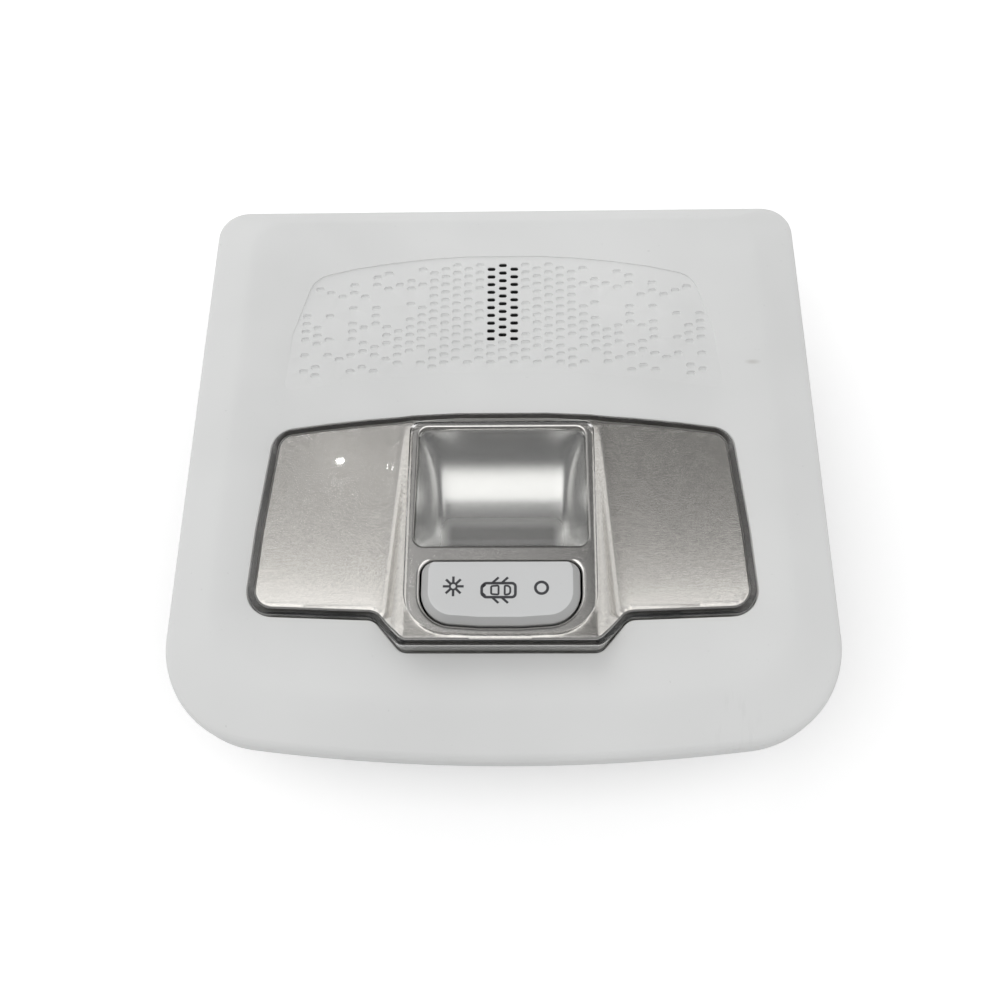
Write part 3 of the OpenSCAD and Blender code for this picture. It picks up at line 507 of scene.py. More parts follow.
def makeWindowPlastic():
    mat, n = blank(bpy.data.materials.new("frostedWindow"))
    clear = n.out("BsdfTransparent", {"Color": (0.985, 0.985, 0.98, 1)})
    satin = ramp(n, noise(n, 300, 2), 0.4, 0.75, 0.05, 0.07)
    gloss = n.out("BsdfGlossy", {"Color": (1, 1, 1, 1), "Roughness": satin})
    haze = n.out("BsdfDiffuse", {"Color": (0.8, 0.8, 0.8, 1)})
    dust = ramp(n, noise(n, 90, 2), 0.3, 0.8, 0.07, 0.085)
    edge = n.out("Fresnel", {"IOR": 1.38})
    body = mixShaders(n, dust, clear, haze)
    endMaterial(n, mixShaders(n, edge, body, gloss))
    return mat


frostedWindow = makeWindowPlastic()


def metal(name, base, roughness, stretch=None):
    mat, n = newMaterial(name, base, roughness, metallic=1.0)
    worn = ramp(n, noise(n, 500, 4, stretch=stretch), 0.3, 0.7)
    link(n, mixColour(n, worn, tuple(c * 0.85 for c in base), base), "Base Color")
    link(n, ramp(n, noise(n, 200, 3), 0.3, 0.7, roughness - 0.08, roughness + 0.1), "Roughness")
    setBump(n, noise(n, 1500, 2), 0.15, 0.01)
    return mat


# satin metal coat; around the two LED openings in the near wall it turns softly to a dark, non-metallic colour,
# painted shade for the trough's near part
def makeMirrorFinish():
    mat, n = newMaterial("mirrorFinish", finish["mirror"], 0.25, metallic=1.0)
    place = n.add("ShaderNodeSeparateXYZ", {0: n.coord}).outputs
    wide = n.out("Math", {0: place[0]}, operation="ABSOLUTE")
    near = ramp(n, place[1], -0.0165, -0.0115, 1.0, 0.0, kind="SMOOTHSTEP")
    middle = ramp(n, wide, 0.0125, 0.0165, 1.0, 0.0, kind="SMOOTHSTEP")
    # painted shade mask: the near middle of the trough, where the dark colour replaces the metal
    bareAndShade = times(n, near, middle)
    streaks = noise(n, 420, 2, stretch=(1, 18, 1))
    coat = mixColour(n, ramp(n, streaks, 0.3, 0.7), tuple(c * 0.97 for c in finish["mirror"]), finish["mirror"])
    link(n, mixColour(n, bareAndShade, coat, finish["bareAndShade"]), "Base Color")
    link(n, math2(n, "SUBTRACT", 1.0, bareAndShade), "Metallic")
    link(n, ramp(n, bareAndShade, 0.0, 1.0, 0.25, 0.5), "Roughness")
    setBump(n, streaks, 0.05, 0.01)
    return mat


mirrorFinish = makeMirrorFinish()
springSteel = metal("springSteel", (0.58, 0.58, 0.57), 0.28, stretch=(1, 1, 6))
screwSteel = metal("screwSteel", (0.62, 0.61, 0.58), 0.3)
contactBrass = metal("contactBrass", (0.78, 0.58, 0.27), 0.26)
capsuleCan = metal("capsuleCan", (0.66, 0.66, 0.65), 0.3)


def boardGreen():
    mat, n = newMaterial("boardGreen", (0.012, 0.085, 0.04), 0.35)
    at = n.out("Mapping", {"Vector": n.coord, "Scale": (1, 1, 0)})
    cells = n.out("TexBrick", {"Vector": at, "Scale": 260, "Mortar Size": 0.03, "Color1": (0, 0, 0, 1),
                               "Color2": (0.25, 0.25, 0.25, 1), "Mortar": (1, 1, 1, 1)})
    track = n.out("SeparateColor", {0: cells})
    col = mixColour(n, track, (0.010, 0.075, 0.034), (0.03, 0.17, 0.08))
    col = mixColour(n, ramp(n, noise(n, 60, 3), 0.4, 0.7, 0, 0.4), col, (0.006, 0.05, 0.024))
    link(n, col, "Base Color")
    setBump(n, track, 0.3, 0.03)
    return mat


def wovenCloth():
    mat, n = newMaterial("micCloth", (0.01, 0.01, 0.011), 0.9)
    a, b = [n.add("ShaderNodeTexWave", {"Vector": n.coord, "Scale": 1400}, bands_direction=way).outputs["Fac"]
            for way in "XY"]
    w = times(n, a, b)
    link(n, mixColour(n, w, (0.004, 0.004, 0.005), (0.014, 0.014, 0.015)), "Base Color")
    setBump(n, w, 0.5, 0.05)
    return mat


board = boardGreen()
micCloth = wovenCloth()
print("materials made")

# microphone grille: lattice of dimples and sound slots
grille = {
    "pitch": (3.11, 2.37), "middleY": 45.1, "step": 0.42, "seed": 7, "lift": 25, "liftFrom": 50,
    "dimple": (2.5, 1.5), "dimpleDepth": 0.45, "slot": (2.3, 1.15),
    "bowlRows": [(0, 0), (0.05, 0.12), (0.1, 0.6), (0.22, 0.92), (0.46, 1)],
    "tubeRows": [(0, 0), (0.06, 0.05), (0.1, 0.12), (0.1, 1)],
    "cellsSide": (55.6, 26, 0.16), "slotColumns": 1.5, "slotRows": (-5, 5, 5.5),
    "chances": ((6.5, 0.93), (12.5, 0.62), (99, 0.42)),
}


def inGrille(x, y):
    side, leanFrom, lean = grille["cellsSide"]
    return abs(x) < side - max(0, y - leanFrom) * lean and bowAt("cellsNear", x) < y < bowAt("cellsFar", x)


def isSlot(u, v):
    low, high, highest = grille["slotRows"]
    return abs(u) < grille["slotColumns"] and low < v < (highest if u == 0 else high)


def chance(u):
    return next(share for reach, share in grille["chances"] if abs(u) < reach)


def scatter(u, v):
    s = sin(radians(abs(u) * 157.31 + v * 271.17 + grille["seed"] * 53.7)) * 937.13
    return s - math.floor(s)


def lattice():
    dimples, slots = [], []
    edge, rim = insetLine(grilleLine, 0.3), stadium(*grille["dimple"], 3)
    pitchX, pitchY = grille["pitch"]
    for u in range(-19, 20):
        for k in range(-12, 13):
            v = k + (abs(u) % 2) / 2
            x, y = u * pitchX, grille["middleY"] + v * pitchY
            if not inGrille(x, y):
                continue
            if isSlot(u, v):
                slots.append((x, y))
            elif scatter(u, v) < chance(u) and all(inside(edge, x + a, y + b) for a, b in rim):
                dimples.append((x, y))
    return dimples, slots


def stadium(length, width, steps=7):
    h = (length - width) / 2
    return arcPoints(h, 0, width / 2, -90, 90, steps) + arcPoints(-h, 0, width / 2, 90, 270, steps)


# one recess, in units of its own length, width and depth; each row is (drawn in by, drop), and
# a floored one comes up towards its near side
def bowlMesh(name, length, width, rows, floored=False):
    bm = bmesh.new()

    def drawn(d, z):
        line = [(x / length, y / width) for x, y in stadium(length - 2 * d, width - 2 * d)]
        return ring(bm, line, lambda x, y: -z * (lerp(0.3, 1, min(1, max(0, y + 0.5) * 1.5)) if floored else 1))
    rings = [drawn(d, z) for d, z in rows]
    for a, b in zip(rings, rings[1:]):
        bridge(bm, b, a)
    if floored:
        bm.faces.new(rings[-1])
    return bpy.data.objects.new(name, meshFrom(name, bm))


# a geometry tree with a Geometry input and output and the named inputs
def newTree(name, inputs):
    tree = bpy.data.node_groups.new(name, "GeometryNodeTree")
    tree.interface.new_socket("Geometry", in_out="INPUT", socket_type="NodeSocketGeometry")
    for label, kind in inputs:
        tree.interface.new_socket(label, in_out="INPUT", socket_type="NodeSocket" + kind)
    tree.interface.new_socket("Geometry", in_out="OUTPUT", socket_type="NodeSocketGeometry")
    n = Nodes(tree)
    n.ins = n.add("NodeGroupInput").outputs
    return tree, n


def joined(n, parts):
    join = n.add("GeometryNodeJoinGeometry")
    for part in parts:
        n.tree.links.new(part, join.inputs[0])
    return join.outputs[0]


def endTree(n, shape):
    real = n.out("GeometryNodeRealizeInstances", {"Geometry": shape})
    set_ = n.out("GeometryNodeSetMaterial", {"Geometry": real, "Material": n.ins["Material"]})
    n.add("NodeGroupOutput", {0: set_})


def evaluated(obj):
    graph = bpy.context.evaluated_depsgraph_get()
    return bpy.data.meshes.new_from_object(obj.evaluated_get(graph), depsgraph=graph)


# runs a tree on an object and returns the result as a plain mesh
def runTree(tree, source, values):
    mod = source.modifiers.new("shape", "NODES")
    mod.node_group = tree
    for item in tree.interface.items_tree:
        if item.item_type == "SOCKET" and item.in_out == "INPUT" and item.name in values:
            mod[item.identifier] = values[item.name]
    source.update_tag()
    bpy.context.view_layer.update()
    mesh = evaluated(source)
    source.modifiers.remove(mod)
    return mesh


def pointsObject(name, places, flags=None):
    mesh = bpy.data.meshes.new(name)
    mesh.from_pydata([tuple(p) for p in places], [], [])
    if flags:
        mesh.attributes.new("isSlot", "BOOLEAN", "POINT").data.foreach_set("value", flags)
    return newObject(name, mesh)


def perforationTree():
    tree, n = newTree("perforations", [("Dimple", "Object"), ("Slot", "Object"), ("Dimple Size", "Vector"),
                                       ("Slot Size", "Vector"), ("Material", "Material")])
    onSlot = n.out("GeometryNodeInputNamedAttribute", {"Name": "isSlot"}, data_type="BOOLEAN")
    noSlot = n.out("FunctionNodeBooleanMath", {0: onSlot}, operation="NOT")
    made = []
    for label, pick in (("Dimple", noSlot), ("Slot", onSlot)):
        shape = n.add("GeometryNodeObjectInfo", {"Object": n.ins[label]}).outputs["Geometry"]
        ins = {"Points": n.ins["Geometry"], "Selection": pick, "Instance": shape, "Scale": n.ins[label + " Size"]}
        made.append(n.out("GeometryNodeInstanceOnPoints", ins))
    endTree(n, joined(n, made))
    return tree


def drop(obj):
    data = obj.data
    bpy.data.objects.remove(obj)
    bpy.data.meshes.remove(data)


def perforations(dimples, slots):
    g = grille
    bowl = bowlMesh("dimpleBowl", *g["dimple"], g["bowlRows"], floored=True)
    tube = bowlMesh("slotWall", *g["slot"], g["tubeRows"])
    z = dims["faceZ"] - g["step"]
    places, flags = [(x, y, z) for x, y in dimples + slots], [False] * len(dimples) + [True] * len(slots)
    points = pointsObject("grillePoints", places, flags)
    mesh = runTree(perforationTree(), points, {
        "Dimple": bowl, "Slot": tube, "Dimple Size": (*g["dimple"], g["dimpleDepth"]),
        "Slot Size": (*g["slot"], z - dims["underZ"]), "Material": bezelPlastic})
    for o in (points, bowl, tube):
        drop(o)
    return mesh


def rimAt(places, size, shrink=0):
    rim = stadium(size[0] - 2 * shrink, size[1] - 2 * shrink)
    return [[(x + a, y + b) for a, b in rim] for x, y in places]


# bezel: outer and inner rows are (share of the way from the wall to the border's crease, z);
# posts are (radius, z) rows whose last radius meets the underside
bezel = {
    "outer": [(0, 24.35), (0, 27.5), (0, 30.2), (0.010, 31.2), (0.032, 31.95), (0.075, 32.42), (0.14, 32.70),
              (0.28, 33.26), (0.45, 33.94), (0.62, 34.62), (0.76, 35.17), (0.86, 35.52), (0.93, 35.74),
              (1.0, 35.89), (1.07, 35.97), (1.14, 36)],
    "inner": [(1.14, 33.6), (0.9, 33.2), (0.5, 31.7), (0.12, 30.2), (0, 28.8), (0, 24.2)],
    "rimShares": (0.1, 0.85), "sink": 0.2, "ribHalf": 0.6, "ribDeep": 3.2, "nearRibDeep": 2.8,
    "ribsX": (-66, -22, 22, 66), "ribsY": (28, 64), "ribsEnd": 66, "nearRibsX": (-30, 0, 30), "nearRibs": (-62, -55),
    "blades": ((-57, 52), (57, 52), (-56, -54), (56, -54)), "bladeHalf": (1.3, 5), "bladeDeep": 19,
    "stopAt": 5.6, "stopHalf": 3.7, "stopDeep": 11,
    "pinPlaces": ((58, 38), (-58, 38)), "pinRows": [(0, 19.6), (2.6, 19.6), (3, 20.0), (3, 33.0)], "pinFoot": 3.5,
    "micPlaces": ((12.5, 46.1), (-12.5, 46.1)), "micFoot": 3.2,
    "micRows": [(0, 31.5), (1.15, 31.5), (1.15, 25.0), (2.9, 25.0), (3.2, 25.3)],
    "earPlaces": ((42, 21), (-42, 21), (42, -53), (-42, -53)), "earFoot": 4,
    "earRows": [(0, 34.4), (1.55, 34.4), (1.55, 30), (3.7, 30), (4, 30.3)],
}


def addUnderside(bm):
    b, half = bezel, bezel["ribHalf"]
    u = dims["underZ"] + b["sink"]
    near, far, end = *b["ribsY"], b["ribsEnd"]
    for x in b["ribsX"]:
        addBox(bm, x - half, near, u - b["ribDeep"], x + half, end, u)
    for x in b["nearRibsX"]:
        addBox(bm, x - half, b["nearRibs"][0], u - b["nearRibDeep"], x + half, b["nearRibs"][1], u)
    for y in (near, far):
        addBox(bm, -end, y - half, u - b["ribDeep"], end, y + half, u)
    thick, long = b["bladeHalf"]
    for x, y in b["blades"]:
        addBox(bm, x - thick, y - long, dims["underZ"] - b["bladeDeep"], x + thick, y + long, u)
        for at in (y - b["stopAt"], y + b["stopAt"]):
            addBox(bm, x - b["stopHalf"], at - half, dims["underZ"] - b["stopDeep"], x + b["stopHalf"], at + half, u)
    for kind in ("pin", "mic", "ear"):
        for x, y in b[kind + "Places"]:
            addTurned(bm, x, y, b[kind + "Rows"] + [(b[kind + "Foot"], u), (0, u)])


def makeBezel():
    b, g = bezel, grille
    f, under, step = dims["faceZ"], dims["underZ"], grille["step"]
    bm = bmesh.new()
    outerRows = [(between(outerLine, creaseLine, k), z) for k, z in b["outer"]]
    innerRows = [(between(innerLine, creaseLine, k), z) for k, z in b["inner"]]
    low = [(between(innerLine, outerLine, k), dims["rimZ"]) for k in b["rimShares"]]
    stack(bm, [innerRows[-1], *low, outerRows[0]])
    stack(bm, outerRows)
    stack(bm, innerRows)
    dimples, slots = lattice()
    hole, holeTop = insetLine(lensLine, -0.3), insetLine(lensLine, -0.7)
    panelTop, panelLow = insetLine(grilleLine, -0.25), insetLine(grilleLine, 0.12)
    fill(bm, outerRows[-1][0], [holeTop, panelTop], f)
    stack(bm, [(holeTop, f), (insetLine(lensLine, -0.42), f - 0.12), (hole, f - 0.4), (hole, under)])
    panelEdge = [(panelTop, f), (insetLine(grilleLine, -0.1), f - 0.05), (grilleLine, f - step + 0.05)]
    stack(bm, panelEdge + [(panelLow, f - step)])
    fill(bm, panelLow, rimAt(dimples, g["dimple"]) + rimAt(slots, g["slot"]), f - step)
    fill(bm, innerRows[0][0], [hole] + rimAt(slots, g["slot"], 0.1), under)
    bm.from_mesh(perforations(dimples, slots))
    for face in bm.faces:          # the sound slots' walls are coloured near black as painted shade, for the dark above the cloth
        c = face.calc_center_median()
        face.normal_update()
        upright = abs(face.normal.z) < 0.3 and under + 0.05 < c.z < f - step - 0.2
        face.material_index = int(upright and abs(c.x) < 6 and 28 < c.y < 62)
    lowerPart = insetLine(grilleLine, -0.02)
    for v in bm.verts:          # the panel lies deepest along its top and comes up flush along its lower edge
        if under + 0.9 < v.co.z < f - 0.051 and inside(lowerPart, v.co.x, v.co.y):
            share = min(1, (f - v.co.z) / step)
            v.co.z += (step - 0.03) * share * max(0, min(1, (g["liftFrom"] - v.co.y) / g["lift"]))
    addUnderside(bm)
    return finishPiece("bezelMoulding", bm, bezelPlastic, "lamp", ["bezel"], second=slotShade)


bezelPiece = makeBezel()
print("bezel made:", len(bezelPiece.data.polygons), "faces")


# lens unit: surfaces that follow the wings and the raised tongue
def soft(t, r=0.7):
    return 0.5 * (t + sqrt(t * t + r * r))


def rise(x, y, wide=0.0):
    h = (dims["lensTop"] - y) * tan(dims["slope"])
    return soft(h - soft(abs(x) - dims["tongueHalf"] + wide), 1.15)


def topAt(drop_, wide=0.0):
    return lambda x, y: dims["wingZ"] - drop_ + rise(x, y, wide)


def insetRows(line, z, steps):          # steps are (drawn in by, down by)
    return [(insetLine(line, d), drawnIn(z, down)) for d, down in steps]


def drawnIn(z, depth):
    return lambda x, y: z(x, y) - depth


cover = {
    "edge": [(0, 2.15), (0.03, 1.75), (0.14, 1.35), (0.38, 0.93), (0.75, 0.54), (1.2, 0.26), (1.7, 0.08), (2.2, 0)],
    "innerEdge": [(1.8, 0.2), (1.86, 0.06)], "wellEdge": [(-0.35, 0), (-0.1, 0.1), (0, 0.35)],
    "thick": 1.8, "flange": 2.2, "flangeZ": (32.0, 33.45), "grid": 0.9,
}


def makeCover():
    c = cover
    bm = bmesh.new()
    top, low = topAt(0), topAt(c["thick"], 0.6)
    foot, flangeTop = c["flangeZ"]
    inner, flange = insetLine(lensLine, c["thick"]), insetLine(lensLine, -c["flange"])
    ceiling, wellTop = insetLine(lensLine, 2.0), insetLine(wellLine, c["wellEdge"][0][0])
    rows = [(inner, foot), (flange, foot), (flange, flangeTop), (insetLine(lensLine, 0), flangeTop)]
    rows += insetRows(lensLine, top, c["edge"])
    stack(bm, rows)
    fill(bm, rows[-1][0], [wellTop], top, c["grid"])
    stack(bm, [(inner, foot), *insetRows(lensLine, low, c["innerEdge"]), (ceiling, low)])
    fill(bm, ceiling, [wellLine], low, c["grid"])
    stack(bm, insetRows(wellLine, top, c["wellEdge"]) + [(wellLine, low)])
    return finishPiece("lensCover", bm, clearLens, "lamp", ["lens_cover"])


coverPiece = makeCover()
print("lens cover made:", len(coverPiece.data.polygons), "faces")

trim = {
    "gap": 1.95, "thick": 1.4, "grid": 0.9, "footZ": (30.6, 31.9), "flange": 1.8, "bareAndShade": 0.32,
    "edge": [(0, 0.45), (0.1, 0.13), (0.3, 0), (0.7, 0)],
    "windowEdge": [(-0.6, 0), (-0.18, 0), (-0.06, 0.06), (0, 0.3)],
    "lips": [(1.1, 0), (0.7, 0), (0.3, 0.13), (0.08, 0.36), (0, 0.75)], "farLip": 0.4,
}


def makeTrim():
    t = trim
    bm = bmesh.new()
    top, low = topAt(t["gap"], 0.8), topAt(t["gap"] + t["thick"], 1.2)
    foot, footTop = t["footZ"]
    line, inner, flange = [insetLine(lensLine, d) for d in (t["gap"], t["gap"] + t["thick"], -t["flange"])]
    window = dense(insetLine(windowLine, -0.15), 2)
    opening = insetLine(rockerLine, -0.45)

    def lip(d):          # the opening's far side has a narrower lip
        far = max(y for _, y in opening)
        return [(x, y if y < far else far + (y - far) * t["farLip"]) for x, y in insetLine(opening, -d)]
    rows = [(inner, foot), (flange, foot), (flange, footTop), (line, footTop), *insetRows(line, top, t["edge"])]
    windowRows = insetRows(window, top, t["windowEdge"])
    lips = [(lip(d), drawnIn(top, down)) for d, down in t["lips"]]
    stack(bm, rows)
    fill(bm, rows[-1][0], [windowRows[0][0], lips[0][0]], top, t["grid"])
    stack(bm, windowRows + [(window, low)])
    stack(bm, lips + [(opening, low)])
    stack(bm, [(inner, foot), (inner, low)])
    fill(bm, inner, [window, opening], low, t["grid"] * 2)
    piece = finishPiece("silverTrim", bm, silverFinish, "lamp", ["silver_trim"], 31, trimBareAndShade)
    face, well = insetLine(line, t["bareAndShade"]), insetLine(wellLine, -1)
    for f in piece.data.polygons:          # only the face is silvered; the rim, walls and underside are bare dark plastic, and the dark rim is also painted shade for the dark band along the lens edge
        x, y, z = [c * 1000 for c in f.center]
        steep = f.normal.z < 0.35 or z < footTop + 0.6
        if (steep or not inside(face, x, y - shiftY)) and not inside(well, x, y - shiftY):
            f.material_index = 1


makeTrim()
tonguePlace = Matrix.Translation((0, dims["lensTop"], dims["wingZ"])) @ Matrix.Rotation(-dims["slope"], 4, "X") \
    @ Matrix.Translation((0, -dims["lensTop"], 0))


def placeAll(bm, matrix):
    bmesh.ops.transform(bm, matrix=matrix, verts=bm.verts)


# heights in the tongue's own plane: back of the pane, its rim, and the rounded front
pane = {"backZ": -4.75, "rimZ": -3.5, "rim": 1.4, "front": [(0.15, -2.65), (0.28, -2.4), (0.6, -2.25)], "grid": 2.5}


def makeWindow():
    w = pane
    bm = bmesh.new()
    rim, front = insetLine(windowLine, -w["rim"]), [(insetLine(windowLine, d), z) for d, z in w["front"]]
    stack(bm, [(rim, w["backZ"]), (rim, w["rimZ"]), (front[0][0], w["rimZ"]), *front])
    fill(bm, front[-1][0], [], front[-1][1], w["grid"])
    fill(bm, rim, [], w["backZ"], w["grid"])
    placeAll(bm, tonguePlace)
    finishPiece("windowLens", bm, frostedWindow, "lamp", ["window_lens"])


makeWindow()

# the reflector's trough: half a tube along X whose ends turn in, with two LED openings, in a flat rim
trough = {
    "radius": 18.5, "wall": 1.2, "half": 21.8, "middleY": -8.25, "centre": 2.43, "steps": 56, "flangeDeep": 0.9,
    "end": 9.5, "endSteps": 12, "endPower": 3.2, "portX": 9, "portHalf": 2.05, "portRows": (6, 11),
    "backShift": 2, "rim": [(23.7, -26.7, 0.7), (23.7, 9.95, 0.7)],
}


def makeReflector():
    t = trough
    bm = bmesh.new()
    mouthZ = pane["backZ"]
    lowZ = mouthZ - t["flangeDeep"]
    w, wall, steps = t["half"], t["wall"], t["steps"]

    def arcRow(r, z):
        a = math.asin((t["centre"] - z) / r)
        turns = [lerp(-pi + a, -a, i / steps) for i in range(steps + 1)]
        return [(t["middleY"] + r * cos(turn), t["centre"] + r * sin(turn)) for turn in turns]
    inner, outer = arcRow(t["radius"], mouthZ), arcRow(t["radius"] + wall, lowZ)
    ports = [side * t["portX"] + k * t["portHalf"] for side in (-1, 1) for k in (-1, 1)]
    shares = [k / t["endSteps"] for k in range(t["endSteps"] + 1)]
    ends = [(t["end"] * k, 1 - (1 - k) ** t["endPower"]) for k in shares]
    places = [(x - w, deep) for x, deep in ends] + [(x, 1) for x in ports]
    places += [(w - x, deep) for x, deep in reversed(ends)]
    backX = (-w - wall, *ports, w + wall)
    loops = [[bm.verts.new((x, y, mouthZ + (z - mouthZ) * deep)) for y, z in inner] for x, deep in places]
    backs = [[bm.verts.new((x, y, z)) for y, z in outer] for x in backX]
    (first, last), shift, port = t["portRows"], t["backShift"], len(ends)

    def skin(rings, way, openings, lo, hi):
        for k, (a, b) in enumerate(zip(rings, rings[1:])):
            for i in range(steps):
                if not (k in openings and lo <= i < hi):
                    bm.faces.new((a[i], b[i], b[i + 1], a[i + 1])[::way])
    skin(loops, 1, (port, port + 2), first, last)
    skin(backs, -1, (1, 3), first - shift, last - shift)
    for k in (0, 2):          # walls of the two openings that the LEDs shine through
        a, b, c, d = *loops[port + k:port + k + 2], *backs[1 + k:3 + k]
        for i in range(first, last):
            j = i - shift
            bm.faces.new((a[i], a[i + 1], c[j + 1], c[j])).material_index = 1
            bm.faces.new((b[i + 1], b[i], d[j], d[j + 1])).material_index = 1
        for i, way in ((first, 1), (last, -1)):
            bm.faces.new((b[i], a[i], c[i - shift], d[i - shift])[::way]).material_index = 1
    bm.faces.new(list(reversed(backs[0])))
    bm.faces.new(backs[-1])
    mouth = [(x, inner[0][0]) for x, _ in places] + [(w, y) for y, _ in inner[1:]]
    mouth += [(x, inner[-1][0]) for x, _ in reversed(places[:-1])] + [(-w, y) for y, _ in reversed(inner[1:-1])]
    back = [(x, outer[0][0]) for x in backX] + [(x, outer[-1][0]) for x in reversed(backX)]
    rim = dense(roundedLine(mirrored(t["rim"])), 3)
    fill(bm, rim, [mouth], mouthZ)
    fill(bm, rim, [back], lowZ)
    stack(bm, [(rim, lowZ), (rim, mouthZ)])
    placeAll(bm, tonguePlace)
    finishPiece("reflectorTrough", bm, mirrorFinish, "lamp", ["reflector"], 40, reflectorBare)


makeReflector()
print("lens unit made")

# rocker button: its edge is (drawn in by, below the plane of the face)
rocker = {
    "edge": [(0, 2.3), (0.05, 1.9), (0.2, 1.62), (0.34, 1.47), (1.66, 0.42), (1.82, 0.29), (1.98, 0.22), (2.3, 0.2)],
    "farShare": 0.2, "farReach": 4, "wall": 1.4, "thick": 1.9, "face": 0.2, "skirtZ": (36.2, 36.4), "grid": 1.2,
    "lugs": (-31.3, -44.8), "lug": (3.4, 1.4, 33.2, 39.2), "arm": (1, 2), "pins": ((-47.1, -44.0), (-30.7, -27.6)),
}


def plane(below):
    return lambda x, y: dims["wingZ"] + (dims["lensTop"] - y) * tan(dims["slope"]) - below


def makeRocker():
    r = rocker
    bm = bmesh.new()
    inner, (skirt, skirtTop) = insetLine(rockerLine, r["wall"]), r["skirtZ"]
    far = max(y for _, y in rockerLine)

    def bevelled(e):          # the bevel is narrower on the far side
        reach = r["farReach"]
        return [(x, y + e * (1 - r["farShare"]) * max(0, min(1, (y - far + reach + e) / reach)))
                for x, y in insetLine(rockerLine, e)]
    rows = [(inner, plane(r["thick"])), (inner, skirt), (insetLine(rockerLine, 0.15), skirt), (rockerLine, skirtTop)]
    rows += [(bevelled(e), plane(d)) for e, d in r["edge"]]
    stack(bm, rows)
    fill(bm, rows[-1][0], [], plane(r["face"]), r["grid"])
    fill(bm, inner, [], plane(r["thick"]))
    half, long, low, high = r["lug"]
    for y in r["lugs"]:
        addBox(bm, -half, y, low, half, y + long, high)
    half, long = r["arm"]
    b0, b1 = dims["pivotY"] - long, dims["pivotY"] + long
    addBox(bm, -half, b0, dims["peg"], half, b1, plane(1)(0, dims["pivotY"]))
    for y0, y1 in r["pins"]:
        addCrossPin(bm, dims["pivotZ"], y0, y1, 1.35, 1.6, 0.25)
    addCrossPin(bm, dims["peg"], b0, b1, 1.1, 1.3, 0.2)
    # the bevels and sides take the darker flank colour, painted shade
    for face in bm.faces:
        face.normal_update()
        face.material_index = int(face.normal.z < 0.9 and face.calc_center_median().z > 36)
    finishPiece("rockerButton", bm, rockerPlastic, "rocker_button", ["rocker"], 32, rockerShadedFlank)


makeRocker()

# printed symbols: sun, car with open doors, plain ring; the car's outlines are (x, y, radius) from its middle
symbols = {
    "lift": 0.02, "sink": 0.02, "line": 0.68, "sun": (-11.5, -35.9, 0.85, 1.05, 2.55), "ring": (10.0, -36.3, 1.5),
    "car": (-0.45, -36.9),
    "hull": [(4.1, -1.8, 0.9), (4.1, 1.8, 0.9), (-3.3, 1.8, 0.8), (-4.1, 0.9, 0.6), (-4.1, -0.9, 0.6),
             (-3.3, -1.8, 0.8)],
    "glass": [(0, -1.15, 0.3), (0, 1.2, 0.3), (-1.8, 1.05, 0.4), (-1.8, -1.0, 0.4)],
    "rear": [(2.85, -1.1, 0.8), (2.85, 1.1, 0.8), (1.5, 1.15, 0.2), (1.5, -1.15, 0.2)],
    "doors": [((-1.5, 1.9), (0, 3.3)), ((0.8, 1.9), (2.3, 3.3))], "lamp": ((-4.0, 0.95), (-3.3, 1.6)),
}


def addStroke(bm, points, width, closed=False):          # a flat printed line with a hair of thickness
    n = len(points)
    left, right = [], []
    for i, p in enumerate(points):
        a = points[i - 1] if i or closed else p
        b = points[(i + 1) % n] if i < n - 1 or closed else p
        t = Vector((b[0] - a[0], b[1] - a[1])).normalized()
        left.append((p[0] - t.y * width / 2, p[1] + t.x * width / 2))
        right.append((p[0] + t.y * width / 2, p[1] - t.x * width / 2))
    up, down = plane(rocker["face"] - symbols["lift"]), plane(rocker["face"] + symbols["sink"])
    rows = [ring(bm, line, z) for line, z in ((left, up), (right, up), (right, down), (left, down))]
    last = n if closed else n - 1
    for a, b in zip(rows, rows[1:] + rows[:1]):
        for i in range(last):
            bm.faces.new((a[i], a[(i + 1) % n], b[(i + 1) % n], b[i]))
    if not closed:
        bm.faces.new([r[0] for r in rows])
        bm.faces.new([r[-1] for r in reversed(rows)])


def makeSymbols():
    bm = bmesh.new()
    m, w = symbols, symbols["line"]
    x, y, r, near, reach = m["sun"]
    addStroke(bm, circle(x, y, r, 36), w * 0.76, True)
    for a in (i * pi / 4 for i in range(8)):
        addStroke(bm, [(x + cos(a) * d, y + sin(a) * d) for d in (near, reach)], w * 0.9)
    addStroke(bm, circle(*m["ring"], 44), w, True)
    x, y = m["car"]
    for part, steps, share in (("hull", 6, 1), ("glass", 5, 0.72), ("rear", 5, 0.72)):
        addStroke(bm, roundedLine([(x + a, y + b, r) for a, b, r in m[part]], steps), w * share, True)
    for s in (-1, 1):
        for door in m["doors"]:
            addStroke(bm, [(x + a, y + s * b) for a, b in door], w * 0.85)
        addStroke(bm, [(x + a, y + s * b) for a, b in m["lamp"]], w * 1.3)
    finishPiece("rockerSymbols", bm, printInk, "rocker_button")


makeSymbols()
print("rocker made")

# screws, by geometry nodes on the points where they sit: places, shank radius and length, head radius and height
screwKinds = {
    "housing_screws": ([(x, y, 27.6) for x, y in bezel["earPlaces"]], 1.5, 6, 3, 1.9),
    "cover_screws": ([(x, y, 1.2) for x in (28.6, -28.6) for y in (7.6, -44.1)], 1.5, 8, 2.9, 1.1),
    "board_screws": ([(x, -28, 10.4) for x in (20, -20)], 1.15, 2.6, 2.3, 1.2),
    "mic_screws": ([(x, 46.1, 23.2) for x in (12.5, -12.5)], 1.1, 6.8, 2.3, 1.4),
}
# a pan head with a cross recess below z = 0, in units of its radius and height
headShape = {"rows": [(0.97, 0), (1, -0.25), (0.97, -0.55), (0.86, -0.82), (0.66, -1.0)], "sides": 32,
             "arm": 0.13, "reach": 0.52, "narrow": 0.6, "floor": -0.35}


